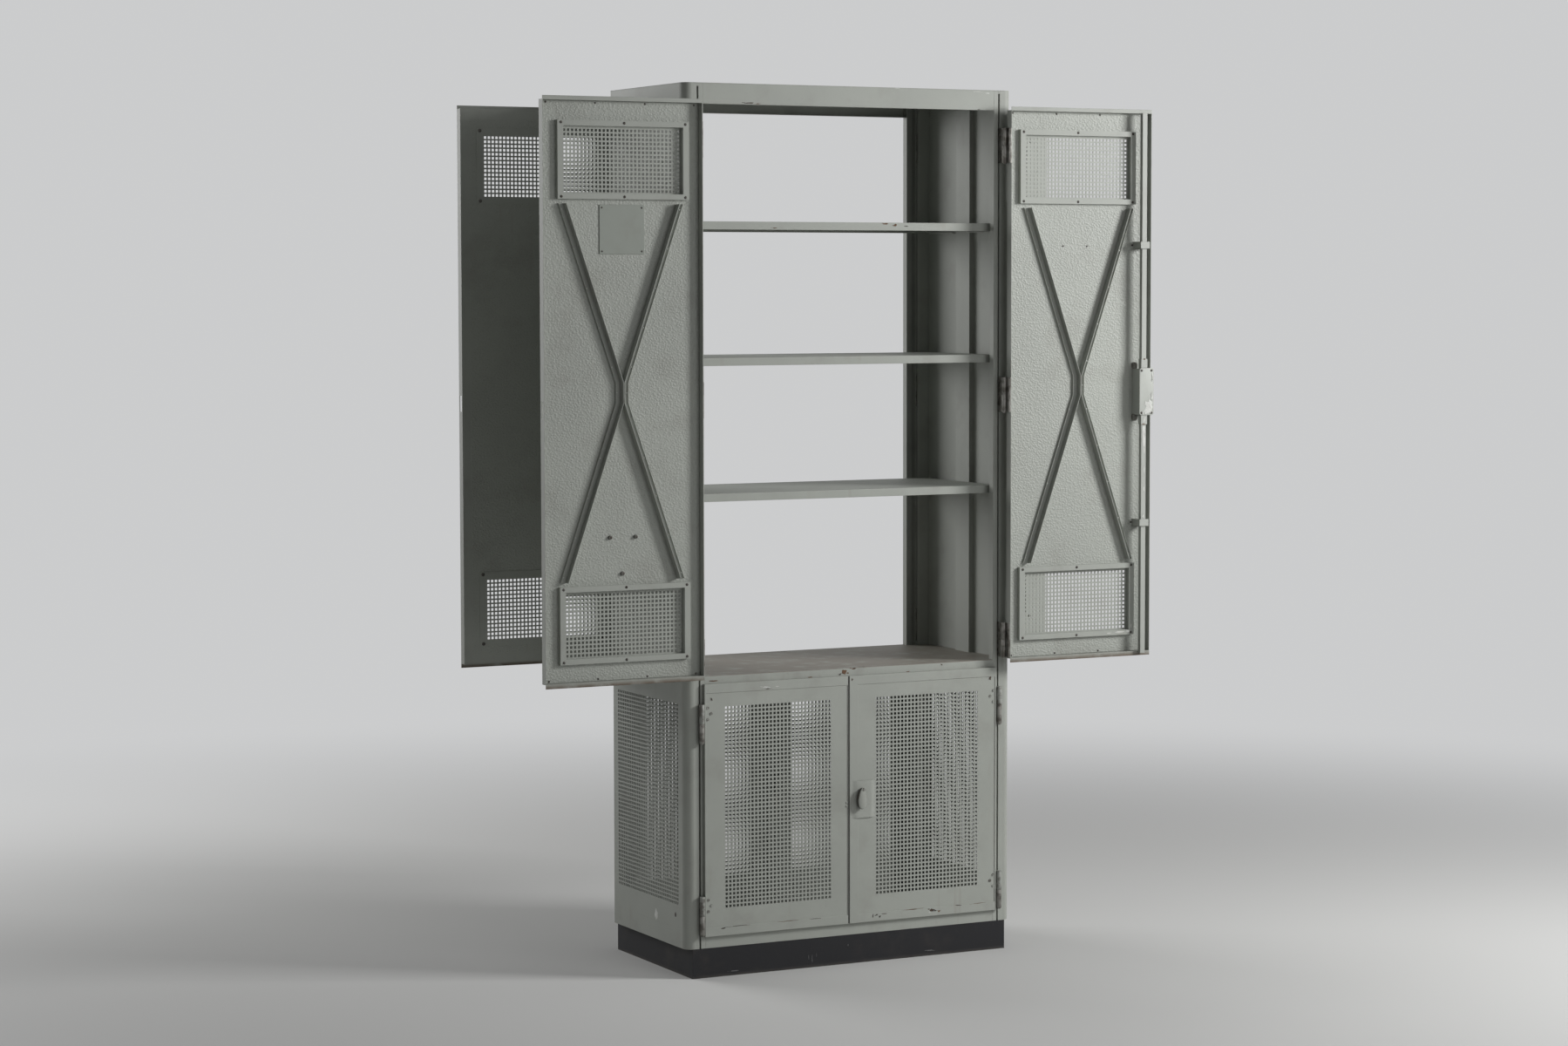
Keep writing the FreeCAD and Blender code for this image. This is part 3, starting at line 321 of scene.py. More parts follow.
# %% [markdown]
# Folded edges lose their paint first. The Bevel node rounds the shading normal near an edge, so
# where it parts from the true normal there is an edge. Broken up with two noises, that difference
# makes one mask for bare steel and another for the brown of rust.

# %% The worn edge group
worn, source, sink = shader_group(
    "worn edges",
    [("Color", COLOUR, GREY), ("Steel", COLOUR, (0.10, 0.085, 0.07, 1)),
     ("Rust", COLOUR, (0.13, 0.055, 0.02, 1)), ("Width", FLOAT, 0.0012), ("Amount", FLOAT, 0.5)],
    [("Color", COLOUR)])
place = object_place(worn)
rounded = add(worn, "ShaderNodeBevel", {"Radius": source["Width"]}, samples=4)
true_normal = add(worn, "ShaderNodeNewGeometry").outputs["Normal"]
dot = add(worn, "ShaderNodeVectorMath", {0: rounded.outputs[0], 1: true_normal}, operation="DOT_PRODUCT")
edge = ranged(worn, dot.outputs["Value"], 0.995, 0.86)
broken = ranged(worn, noise(worn, place, 42.0, 6.0, 0.7), 0.50, 0.66)
mask = times(worn, times(worn, edge, broken), source["Amount"])
rusty = ranged(worn, noise(worn, place, 16.0, 5.0), 0.52, 0.72)
rim = times(worn, times(worn, edge, rusty), source["Amount"])
rusted = mixed(worn, rim, source["Color"], source["Rust"])
worn.links.new(mixed(worn, mask, rusted, source["Steel"]), sink["Color"])
print("worn edge group:", len(worn.nodes), "nodes")

# %% [markdown]
# Water and hands leave marks that run down a sheet. Noise that is squeezed across and drawn out in
# height gives such streaks, and a second, slower noise lets them show only in places.

# %% The stain group
stained, source, sink = shader_group(
    "running stains",
    [("Color", COLOUR, GREY), ("Stain", COLOUR, (0.16, 0.10, 0.05, 1)), ("Amount", FLOAT, 0.2)],
    [("Color", COLOUR)])
place = object_place(stained)
drawn = add(stained, "ShaderNodeMapping", {"Vector": place, "Scale": (55.0, 55.0, 2.4)}).outputs[0]
streaks = ranged(stained, noise(stained, drawn, 1.0, 3.0), 0.56, 0.76)
gate = ranged(stained, noise(stained, place, 4.5, 3.0), 0.50, 0.68)
run = times(stained, times(stained, streaks, gate), source["Amount"])
stained.links.new(mixed(stained, run, source["Color"], source["Stain"]), sink["Color"])
print("stain group:", len(stained.nodes), "nodes")

# %% [markdown]
# ## Materials
#
# Nearly everything is steel under the same pale grey-green paint, half matt. One function makes
# all its variants: smooth or grained, clean or stained. The rust along the bottom edge of the doors
# and the brown dust on the deck settle by height, from a clean one to a full one.

# %% Painted steel
PAINT = (0.335, 0.350, 0.318, 1)
PEEL_DEPTH = 0.00004
GRAIN_DEPTH = 0.00048


def painted(name, colour=PAINT, rough=0.50, dirt=0.16, wear=0.6, stain=0.2, relief=0.0, settled=None,
            framed=False):
    """Painted steel: cloudy, stained and worn, with a pressed grain where relief is set."""
    material, tree, shader = new_material(name)
    paint = grouped(tree, cloudy, {"Paint": colour, "Dirt Amount": dirt, "Gloss Roughness": rough})
    surface = grouped(tree, stained, {"Color": paint["Color"], "Amount": stain})["Color"]
    place = object_place(tree)
    if settled:
        clean_height, full_height, colour_there = settled
        height = add(tree, "ShaderNodeSeparateXYZ", {0: place}).outputs["Z"]
        reach = ranged(tree, height, clean_height, full_height)
        blotch = ranged(tree, noise(tree, place, 24.0, 5.0), 0.12, 0.54)
        surface = mixed(tree, times(tree, reach, blotch), surface, colour_there)
    if wear:
        surface = grouped(tree, worn, {"Color": surface, "Amount": wear})["Color"]
    tree.links.new(surface, shader.inputs["Base Color"])
    tree.links.new(paint["Roughness"], shader.inputs["Roughness"])
    height = times(tree, noise(tree, place, 900.0, 1.0), PEEL_DEPTH)
    if relief:
        pressed = grouped(tree, grain, {"Relief": relief})["Height"]
        if framed:
            pressed = times(tree, pressed, grouped(tree, border, {})["Inside"])
        height = math_of(tree, height, pressed)
    bump = add(tree, "ShaderNodeBump", {"Height": height, "Strength": 1.0, "Distance": 1.0})
    tree.links.new(bump.outputs[0], shader.inputs["Normal"])
    return material


RUST_BROWN = (0.088, 0.057, 0.032, 1)
pale_paint = painted("pale_paint")
door_skin = painted("door_skin", settled=(0.692, 0.676, RUST_BROWN), relief=GRAIN_DEPTH, framed=True)
grained_paint = painted("grained_paint", wear=0.0, relief=GRAIN_DEPTH, stain=0.12, rough=0.44)
sheet_paint = painted("sheet_paint", wear=0.0)
plate_paint = painted("plate_paint", colour=(0.235, 0.255, 0.225, 1), rough=0.34, wear=0.0)
deck_paint = painted("deck_paint", settled=(0.6800, 0.6812, (0.215, 0.197, 0.168, 1)), dirt=0.3, stain=0.4)
lock_paint = painted("lock_paint", colour=(0.36, 0.375, 0.345, 1), wear=0.9)
black_paint = painted("black_paint", colour=(0.018, 0.018, 0.020, 1), rough=0.5, dirt=0.12, stain=0.0,
                      wear=0.25, settled=(0.009, 0.0, (0.050, 0.047, 0.043, 1)))
black_paint.node_tree.nodes["Principled BSDF"].inputs["Specular IOR Level"].default_value = 0.25
print("painted materials made")

# %% [markdown]
# Screws, hinges, chips and rust are small, so plain node materials with a little noise are enough:
# what the eye reads at that size is their tone against the paint.

# %% Bare and rusty steel


def metal(name, colour, rough, metallic, spots, spot_colour):
    """Steel with darker spots of rust or grime."""
    material, tree, shader = new_material(name)
    place = object_place(tree)
    blotch = ranged(tree, noise(tree, place, 60.0, 5.0), 0.44, 0.62, 0.0, spots)
    tree.links.new(mixed(tree, blotch, colour, spot_colour), shader.inputs["Base Color"])
    tree.links.new(ranged(tree, noise(tree, place, 210.0, 2.0), 0.3, 0.7, rough - 0.08, rough + 0.12),
                   shader.inputs["Roughness"])
    shader.inputs["Metallic"].default_value = metallic
    return material


hinge_steel = metal("hinge_steel", (0.24, 0.235, 0.215, 1), 0.42, 0.55, 0.7, (0.05, 0.040, 0.030, 1))
hinge_paint = metal("hinge_paint", (0.30, 0.31, 0.285, 1), 0.45, 0.15, 0.75, (0.055, 0.042, 0.032, 1))
screw_steel = metal("screw_steel", (0.085, 0.078, 0.070, 1), 0.5, 0.5, 0.8, (0.03, 0.022, 0.015, 1))
# near black: painted shade for screw slots and for the lower doors' meeting edge
slot_and_gap_shade = metal("slot_and_gap_shade", (0.012, 0.011, 0.010, 1), 0.7, 0.0, 0.3, (0.02, 0.012, 0.008, 1))
# near black: the dark chips of paint, and also painted shade on the turn handles' rim
dark_chip_and_shade = metal("dark_chip_and_shade", (0.045, 0.040, 0.035, 1), 0.6, 0.2, 0.7, (0.075, 0.042, 0.024, 1))
# white: chips down to the ground coat, and also a painted highlight on the brace rivets
white_chip_and_highlight = metal("white_chip_and_highlight", (0.55, 0.56, 0.53, 1), 0.55, 0.0, 0.35, (0.36, 0.35, 0.32, 1))
scuff_grey = metal("scuff_grey", (0.13, 0.13, 0.13, 1), 0.7, 0.0, 0.6, (0.05, 0.05, 0.05, 1))
rust_spot = metal("rust_spot", (0.125, 0.068, 0.036, 1), 0.75, 0.0, 0.7, (0.070, 0.040, 0.024, 1))
print("metals made")

# %% [markdown]
# ## Finishing the construction pieces
#
# The construction's edges are knife sharp, and real sheet is folded. A Weld modifier joins the
# corners of the imported triangles and a Bevel modifier then rounds every sharp edge a little, so
# that edges catch the light. Modifiers leave the construction's own mesh as it is. The punched
# sheets and vents are replaced further on, and the liners are flat, so they go without.

# %% Materials and soft edges on the construction nodes
SOFT_EDGE, WELD_GAP = 0.0005, 0.00001
SHARP_ANGLE = math.radians(35)


def bevelled(item, width=SOFT_EDGE):
    """Round a piece's sharp edges with a modifier."""
    bevel = item.modifiers.new("bevel", "BEVEL")
    bevel.width = width
    bevel.segments = 2
    bevel.limit_method = "ANGLE"
    bevel.angle_limit = SHARP_ANGLE


def finish_of(node):
    """The material for a construction node, by what it is."""
    if node == "plinth":
        return black_paint
    if node == "deck":
        return deck_paint
    if "hinge" in node:
        return hinge_paint if node.startswith("lower_door") else hinge_steel
    if node.startswith(("lock_", "lower_handle")):
        return lock_paint
    if node.endswith("_panel"):
        return grained_paint
    if node.endswith("_tray"):
        return door_skin
    return pale_paint


for node, item in nodes.items():
    item.data.materials.clear()
    item.data.materials.append(finish_of(node))
    if not node.endswith(("_sheet", "_vents", "_panel")):
        item.modifiers.new("weld", "WELD").merge_threshold = WELD_GAP
        bevelled(item)
print("finished", len(nodes), "nodes")

# %% [markdown]
# ## Perforated sheets
#
# The lower doors, the lower sides and the vent covers are punched with square holes in straight
# rows. A boolean for each hole would be slow and ragged. A punched sheet is a grid of lines
# instead: between each pair of lines is either steel or a hole, so the mesh can be written cell by
# cell, closed round every hole, with no stray faces.

# %% A shell that collects faces
PITCH, HOLE = 0.00935, 0.0058


class Shell:
    """Collects corners and faces for one object, with a material number for each face."""

    def __init__(self):
        self.corners = []
        self.faces = []
        self.marks = []

    def take(self, faces, mark):
        """Add faces that all have one material number."""
        self.faces += faces
        self.marks += [mark] * len(faces)

    def block(self, first, second, mark=0):
        """A closed block between two corners, given in any order."""
        start = len(self.corners)
        xs, ys, zs = (sorted(pair) for pair in zip(first, second))
        self.corners += [(x, y, z) for x in xs for y in ys for z in zs]
        sides = ((0, 1, 3, 2), (4, 6, 7, 5), (0, 4, 5, 1), (2, 3, 7, 6), (0, 2, 6, 4), (1, 5, 7, 3))
        self.take([tuple(start + index for index in side) for side in sides], mark)

    def lofted(self, rings, mark=0):
        """A closed solid through rings that all have as many points, with flat ends."""
        start = len(self.corners)
        count = len(rings[0])
        last = start + (len(rings) - 1) * count
        for ring in rings:
            self.corners += [tuple(point) for point in ring]
        faces = []
        for near in range(start, last, count):
            for step in range(count):
                after = (step + 1) % count
                faces.append((near + step, near + after, near + count + after, near + count + step))
        faces.append(tuple(start + step for step in reversed(range(count))))
        faces.append(tuple(last + step for step in range(count)))
        self.take(faces, mark)

    def punched(self, across, along, is_hole, near, far, place):
        """A sheet between near and far, with a hole in each cell that is_hole names."""
        start = len(self.corners)
        wide, tall = len(across), len(along)
        for depth in (near, far):
            self.corners += [place(u, v, depth) for u in across for v in along]

        def corner(layer, i, j):
            return start + layer * wide * tall + i * tall + j

        def solid(i, j):
            return 0 <= i < wide - 1 and 0 <= j < tall - 1 and not is_hole(i, j)

        faces = []
        for i in range(wide):
            for j in range(tall):
                if solid(i, j):
                    ring = [(i, j), (i + 1, j), (i + 1, j + 1), (i, j + 1)]
                    faces.append(tuple(corner(0, *spot) for spot in ring))
                    faces.append(tuple(corner(1, *spot) for spot in reversed(ring)))
                if j < tall - 1 and solid(i - 1, j) != solid(i, j):
                    faces.append((corner(0, i, j), corner(0, i, j + 1),
                                  corner(1, i, j + 1), corner(1, i, j)))
                if i < wide - 1 and solid(i, j - 1) != solid(i, j):
                    faces.append((corner(0, i, j), corner(0, i + 1, j),
                                  corner(1, i + 1, j), corner(1, i, j)))
        self.take(faces, 0)

    def made(self, name, body, materials, replaced=None):
        """The object, riding on its body and standing for the node that it replaces."""
        mesh = bpy.data.meshes.new(name)
        mesh.from_pydata(self.corners, [], self.faces)
        for material in materials:
            mesh.materials.append(material)
        mesh.polygons.foreach_set("material_index", self.marks)
        mesh.update()
        item = placed(name, mesh)
        work = bmesh.new()
        work.from_mesh(mesh)
        bmesh.ops.recalc_face_normals(work, faces=work.faces)
        work.to_mesh(mesh)
        work.free()
        mesh.shade_smooth()
        mesh.set_sharp_from_angle(angle=SHARP_ANGLE)
        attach(item, body)
        if replaced:
            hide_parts(replaced)
        return item


def hole_lines(low, high, first, count):
    """The lines of a sheet from low to high with count holes from first on."""
    lines = [low]
    for index in range(count):
        lines += [first + index * PITCH, first + index * PITCH + HOLE]
    return lines + [high]


def field_span(count):
    """The length of a row of holes."""
    return (count - 1) * PITCH + HOLE


def between_lines(i, j):
    """Holes lie between every second pair of lines in both directions."""
    return i % 2 == 1 and j % 2 == 1


def in_front(u, v, depth):
    """Sheets of the doors: across is X, along is Z and depth is Y."""
    return (u, depth, v)


print("pitch", PITCH * 1000, "mm, hole", HOLE * 1000, "mm")

# %% The lower doors' sheets
DOOR_COLUMNS, DOOR_ROWS = 29, 49
FIELD_START, FIELD_BASE = 0.0587, 0.1572
SPINDLE_X, SPINDLE_HEIGHT, SPINDLE_CLEAR = 0.016, 0.382, 0.0045
spindle_row = round((SPINDLE_HEIGHT - FIELD_BASE) / PITCH)


def beside_spindle(i, j):
    """The holes of the sheet that the handle's spindle passes through."""
    if i == 1:
        return j in (2 * spindle_row, 2 * spindle_row + 1)
    return between_lines(i, j)


for end in ("front", "rear"):
    for side in ("left", "right"):
        door = "lower_door_%s_%s" % (end, side)
        low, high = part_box(door + "_sheet")
        start = FIELD_START if side == "right" else -FIELD_START - field_span(DOOR_COLUMNS)
        across = hole_lines(low.x, high.x, start, DOOR_COLUMNS)
        along = hole_lines(low.z, high.z, FIELD_BASE, DOOR_ROWS)
        rule = between_lines
        if side == "right":
            across[1:1] = [SPINDLE_X - SPINDLE_CLEAR, SPINDLE_X + SPINDLE_CLEAR]
            rule = beside_spindle
        shell = Shell()
        shell.punched(across, along, rule, low.y, high.y, in_front)
        shell.made(door + "_sheet_punched", door, [sheet_paint], door + "_sheet")
        print(door, len(shell.faces), "faces")

# %% The lower side sheets
SIDE_COLUMNS, SIDE_ROWS = 35, 49
SIDE_BASE = 0.1632

for side in ("left", "right"):
    node = "lower_side_" + side
    low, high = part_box(node)
    across = hole_lines(low.y, high.y, -field_span(SIDE_COLUMNS) / 2, SIDE_COLUMNS)
    along = hole_lines(low.z, high.z, SIDE_BASE, SIDE_ROWS)
    shell = Shell()
    shell.punched(across, along, between_lines, low.x, high.x, lambda u, v, depth: (depth, u, v))
    shell.made(node + "_punched", "carcass", [sheet_paint], node)
    print(node, len(shell.faces), "faces")

# %% [markdown]
# Each tall door has two ventilators. Outside, a flat punched plate covers an opening in the skin.
# Inside, a hollow frame with turned edges surrounds it, so that the holes lie in a shallow recess
# and one side of the recess is always in shade. One object per door holds all four pieces.

# %% The ventilators of the tall doors
VENT_COLUMNS, VENT_ROWS = 30, 15
VENT_SHEET = 0.0012
VENT_BANDS = ((0.7275, 0.8975), (1.740, 1.910))
FRAME_SIDE, FRAME_END = 0.014, 0.012
FIELD_DROP = 0.0015
LINER_PLANE = 0.2287
# the ends and sides of the cabinet, each with its sign along Y or X
ENDS = (("front", -1), ("rear", 1))
SIDES = (("right", 1), ("left", -1))
TALL_DOORS = [("upper_door_%s_%s" % (end, side), facing, hand)
              for end, facing in ENDS for side, hand in SIDES]


def planes(node, facing):
    """The Y of a node's side towards its viewer, and of its far side."""
    low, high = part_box(node)
    return (low.y, high.y) if facing < 0 else (high.y, low.y)


def ring_hole(i, j):
    """The one opening of a frame drawn on four lines each way."""
    return i == 1 and j == 1


def ring_lines(low, high, inset, wide):
    """Four lines of a frame that is wide, set in from low and high."""
    return [low + inset, low + inset + wide, high - inset - wide, high - inset]


for door, facing, _ in TALL_DOORS:
    low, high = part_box(door + "_vents")
    inner, outer = planes(door + "_vents", facing)
    frame_back = inner - facing * VENT_SHEET
    shell = Shell()
    for base, top in VENT_BANDS:
        shell.punched(ring_lines(low.x, high.x, 0, FRAME_SIDE), ring_lines(base, top, 0, FRAME_END),
                      ring_hole, inner, frame_back, in_front)
        for inset_x, inset_z in ((0, 0), (FRAME_SIDE - VENT_SHEET, FRAME_END - VENT_SHEET)):
            shell.punched(ring_lines(low.x, high.x, inset_x, VENT_SHEET),
                          ring_lines(base, top, inset_z, VENT_SHEET),
                          ring_hole, frame_back, facing * LINER_PLANE, in_front)
        across = hole_lines(low.x, high.x, (low.x + high.x - field_span(VENT_COLUMNS)) / 2, VENT_COLUMNS)
        along = hole_lines(base, top, (base + top - field_span(VENT_ROWS)) / 2 - FIELD_DROP, VENT_ROWS)
        shell.punched(across, along, between_lines, outer + facing * VENT_SHEET, outer, in_front)
    shell.made(door + "_vents_punched", door, [sheet_paint], door + "_vents")
    print(door, len(shell.faces), "faces")

# %% [markdown]
# ## Screws, studs and plates
#
# The covers are held by round-headed screws that have gone dark, and they punctuate every door. A
# small turned profile makes them all: a ring of points for each step of the profile, closed at both
# ends. A thin near-black bar, a hair above the head, stands for the slot as painted shade for its
# hollow. Each door gets one object with all its screws, so that they swing with it.

# %% Turned heads
# a screw's head and slot, in shares of its radius and height
HEAD_HEIGHT, HEAD = 0.42, ((1, 0), (1, 0.3), (0.86, 0.7), (0.5, 1))
SLOT_LONG, SLOT_WIDE, SLOT_DEPTHS = 0.66, 0.13, (0.8, 1.03)
turns = random.Random(4)


def turned(shell, foot, facing, profile, segments=14, mark=0):
    """A turned solid that points to the front or rear: profile lists (radius, height) from its foot."""
    x, y, z = foot
    angles = [2 * math.pi * step / segments for step in range(segments)]
    shell.lofted([[(x + facing * radius * math.cos(angle), y + facing * height, z - radius * math.sin(angle))
                   for angle in angles] for radius, height in profile], mark)


def screw(shell, foot, facing, radius, mark=0):
    """A domed screw head, turned by chance: the head gets material mark, its slot material 1."""
    height = radius * HEAD_HEIGHT
    turned(shell, foot, facing, [(radius * wide, height * rise) for wide, rise in HEAD], mark=mark)
    turn = turns.uniform(0, 3)
    along = Vector((facing * math.cos(turn), 0, -math.sin(turn))) * radius * SLOT_LONG
    aside = Vector((-facing * math.sin(turn), 0, -math.cos(turn))) * radius * SLOT_WIDE
    rings = []
    for depth in SLOT_DEPTHS:
        middle = Vector(foot) + Vector((0, facing * height * depth, 0))
        rings.append([middle - along - aside, middle + along - aside, middle + along + aside,
                      middle - along + aside])
    # the slot bar takes material 1, the near-black painted shade of the slot's hollow
    shell.lofted(rings, mark=1)


def corner_screws(shell, low, high, inset, face, facing, radius, mark=0):
    """A screw near each corner of a plate that reaches from low to high in X and Z."""
    for x in (low[0] + inset, high[0] - inset):
        for z in (low[1] + inset, high[1] - inset):
            screw(shell, (x, face, z), facing, radius, mark)


print("screw slots take", SLOT_LONG, "of the head")

# %% Screws of the tall doors
COVER_SCREWS = (0.038, 0.185, 0.335)
LINER_SCREWS = (0.013, 0.131, 0.250, 0.367)
COVER_INSET, LINER_INSET = 0.0052, 0.0036
COVER_SCREW, PLATE_SCREW, LINER_SCREW = 0.0031, 0.0042, 0.0024
skin_edge = skin_low.x

for door, facing, hand in TALL_DOORS:
    inner, outer = planes(door + "_vents", facing)
    shell = Shell()
    for base, top in VENT_BANDS:
        for height in (base + COVER_INSET, top - COVER_INSET):
            for start in COVER_SCREWS:
                x = hand * (skin_edge + start)
                screw(shell, (x, inner, height), facing, COVER_SCREW)
                screw(shell, (x, outer, height), -facing, PLATE_SCREW)
    for height in (lip_low.z + LINER_INSET, lip_high.z - LINER_INSET):
        for start in LINER_SCREWS:
            screw(shell, (hand * (skin_edge + start), facing * LINER_PLANE, height), facing, LINER_SCREW)
    shell.made(door + "_screws", door, [screw_steel, slot_and_gap_shade])
    print(door, "screws")

# %% [markdown]
# The left front door once had something fixed to its liner. A square plate covers the opening
# above, and three studs are left below. The plate is smooth and greener than the rest, so it is
# laid over the construction's plate as a piece of its own.

# %% Blanking plate and studs
PLATE_START, PLATE_SIDE, PLATE_FOOT = 0.135, 0.107, 1.621
PLATE_FACE, PLATE_OVER = 0.2305, 0.0002
PLATE_SCREW_INSET, CORNER_SCREW = 0.006, 0.0022
STUDS = ((0.1585, 1.002), (0.220, 1.002), (0.1905, 0.922))
STUD_PROFILE = [(0.0046, 0), (0.0046, 0.0035), (0.0034, 0.0052), (0.0012, 0.0056)]

plate_right = -(skin_edge + PLATE_START) + PLATE_OVER
plate_left = plate_right - PLATE_SIDE - 2 * PLATE_OVER
shell = Shell()
shell.block((plate_left, -PLATE_FACE, PLATE_FOOT - PLATE_OVER),
            (plate_right, -LINER_PLANE, PLATE_FOOT + PLATE_SIDE + PLATE_OVER))
bevelled(shell.made("blanking_plate", "upper_door_front_left", [plate_paint]))
shell = Shell()
corner_screws(shell, (plate_left, PLATE_FOOT), (plate_right, PLATE_FOOT + PLATE_SIDE),
              PLATE_SCREW_INSET, -PLATE_FACE, -1, CORNER_SCREW)
for start, height in STUDS:
    turned(shell, (-(skin_edge + start), -LINER_PLANE, height), -1, STUD_PROFILE)
shell.made("plate_screws_and_studs", "upper_door_front_left", [screw_steel, slot_and_gap_shade])
print("plate", PLATE_SIDE * 1000, "mm square, with", len(STUDS), "studs below")

# %% [markdown]
# The braces are riveted to the liner through their feet, at even steps from the middle of the door
# to both ends. The heads are small, so one low dome, turned many times, is enough. They are a little
# worn, and their white is mostly a painted highlight for the light that glints on them.
# A brace leans outwards from a short upright middle, and each rivet's place follows from its height
# by that rule. Two screw ends show on the liner of the right front door as well.

# %% Rivets of the braces
DOOR_MIDDLE, BRACE_MIDDLE, BRACE_UPRIGHT = skin_edge + 0.191, 1.3185, 0.022
BRACE_LEAN = 0.134 / 0.390
BRACE_SHEET, RIVET_LINE = 0.0015, 0.0118
RIVET_RISES = (0.0, 0.056, 0.142, 0.228, 0.314, 0.400)
RIVET_PROFILE = [(0.0019, 0), (0.0018, 0.0010), (0.0013, 0.0018), (0.0005, 0.0021)]
SCREW_ENDS = ((0.5442, 1.6424), (0.6095, 1.6424))
SCREW_END_PROFILE = [(0.0022, 0), (0.0020, 0.0010), (0.0010, 0.0015)]

for door, facing, hand in TALL_DOORS:
    face = facing * (LINER_PLANE + BRACE_SHEET)
    shell = Shell()
    for rise in RIVET_RISES:
        lean = max(0.0, rise - BRACE_UPRIGHT) * BRACE_LEAN + RIVET_LINE
        for x in (hand * DOOR_MIDDLE - lean, hand * DOOR_MIDDLE + lean):
            for z in sorted({BRACE_MIDDLE - rise, BRACE_MIDDLE + rise}):
                turned(shell, (x, face, z), facing, RIVET_PROFILE, 10)
    # the white chip colour on the rivet heads is a painted highlight
    shell.made(door + "_brace_rivets", door, [white_chip_and_highlight])
    print(door, "rivets")
shell = Shell()
for x, height in SCREW_ENDS:
    turned(shell, (x, -LINER_PLANE, height), -1, SCREW_END_PROFILE, 12)
shell.made("liner_screw_ends", "upper_door_front_right", [screw_steel])

# %% [markdown]
# ## The bolt-rod lock
#
# The lock sits on the inside of each right-hand tall door. Its lid has well rounded corners and
# four dark screws, lugs hold it above and below, and clamps lead the rods. The construction's case
# has square corners, so this piece takes its place. A rounded outline drawn as four quarter turns
# and pushed through gives the lid and the lugs.

# %% Rounded outlines pushed through
QUARTER_STEPS = 6


def rounded_outline(low, high, radius):
    """The outline of a rectangle in X and Z with round corners."""
    centres = ((high[0] - radius, high[1] - radius), (low[0] + radius, high[1] - radius),
               (low[0] + radius, low[1] + radius), (high[0] - radius, low[1] + radius))
    points = []
    for quarter, (x, z) in enumerate(centres):
        for step in range(QUARTER_STEPS + 1):
            angle = math.pi / 2 * (quarter + step / QUARTER_STEPS)
            points.append((x + radius * math.cos(angle), z + radius * math.sin(angle)))
    return points


def pushed(shell, outline, foot, facing, layers, mark=0):
    """A closed solid through the outline: layers lists (distance out from foot, share of its size)."""
    middle_x = sum(point[0] for point in outline) / len(outline)
    middle_z = sum(point[1] for point in outline) / len(outline)
    rings = []
    for out, share in layers:
        y = foot + facing * out
        rings.append([(middle_x + (x - middle_x) * share, y, middle_z + (z - middle_z) * share)
                      for x, z in outline])
    shell.lofted(rings, mark)


print("a round corner has", QUARTER_STEPS, "steps")

# %% Lock cases
LID_LEFT, LID_RIGHT = skin_edge + 0.3418, skin_edge + 0.3808
LID_FOOT, LID_TOP, LID_FACE = 1.246, 1.357, 0.2613
LID_THICK, LID_ROUND, CASE_INSET, CASE_EDGE = 0.0016, 0.0004, 0.0015, 0.0004
LID_RADIUS, CASE_RADIUS, LUG_RADIUS = 0.0055, 0.003, 0.0055
LID_SCREW_INSET, LID_SCREW, FOOT_SCREW = 0.0058, 0.0030, 0.0026
LUG_WIDE, LUG_TALL, LUG_THICK, LUG_ASIDE = 0.012, 0.017, 0.009, 0.002
LUG_PAST_LID = 0.8
GUIDE_HEIGHTS = (1.645, 0.993)
GUIDE_TALL, GUIDE_WALL = 0.016, 0.003
FOOT_LONG, FOOT_THICK, FOOT_INSET = 0.008, 0.002, 0.002
ROD_PLAY, ROD_FRONT = 0.0008, 0.2598

for end, facing in ENDS:
    node = "lock_%s_case" % end
    body = "upper_door_%s_right" % end
    rod_low, rod_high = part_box("lock_%s_upper_rod" % end)
    liner, rod_front = facing * LINER_PLANE, facing * ROD_FRONT
    depth = LID_FACE - LINER_PLANE
    shell = Shell()
    outline = rounded_outline((LID_LEFT, LID_FOOT + CASE_INSET),
                              (LID_RIGHT - CASE_INSET, LID_TOP - CASE_INSET), CASE_RADIUS)
    pushed(shell, outline, liner, facing, [(0, 1.0), (depth - LID_THICK, 1.0)])
    outline = rounded_outline((LID_LEFT, LID_FOOT), (LID_RIGHT, LID_TOP), LID_RADIUS)
    pushed(shell, outline, liner, facing,
           [(depth - LID_THICK, 1.0), (depth - LID_ROUND, 1.0), (depth, 0.985)])
    for z in (LID_FOOT - LUG_TALL * LUG_PAST_LID, LID_TOP - LUG_TALL * (1 - LUG_PAST_LID)):
        x = LID_LEFT - LUG_ASIDE
        outline = rounded_outline((x, z), (x + LUG_WIDE, z + LUG_TALL), LUG_RADIUS)
        pushed(shell, outline, liner, facing, [(0, 1.0), (LUG_THICK * 0.7, 1.0), (LUG_THICK, 0.8)], mark=3)
    corner_screws(shell, (LID_LEFT, LID_FOOT), (LID_RIGHT, LID_TOP), LID_SCREW_INSET,
                  facing * LID_FACE, facing, LID_SCREW, mark=2)
    near, far = rod_low.x - ROD_PLAY, rod_high.x + ROD_PLAY
    for height in GUIDE_HEIGHTS:
        base, top = height - GUIDE_TALL / 2, height + GUIDE_TALL / 2
        for x in (near - GUIDE_WALL, far):
            shell.block((x, liner, base), (x + GUIDE_WALL, rod_front, top))
        shell.block((near - GUIDE_WALL, rod_front, base),
                    (far + GUIDE_WALL, rod_front + facing * GUIDE_WALL, top))
        foot_face = liner + facing * FOOT_THICK
        for x in (near - GUIDE_WALL - FOOT_LONG, far + GUIDE_WALL):
            shell.block((x, liner, base + FOOT_INSET), (x + FOOT_LONG, foot_face, top - FOOT_INSET))
            screw(shell, (x + FOOT_LONG / 2, foot_face, height), facing, FOOT_SCREW, mark=2)
    dressing = [lock_paint, slot_and_gap_shade, screw_steel, hinge_steel]
    bevelled(shell.made(node + "_dressed", body, dressing, node), CASE_EDGE)
    print(node, "on", body)
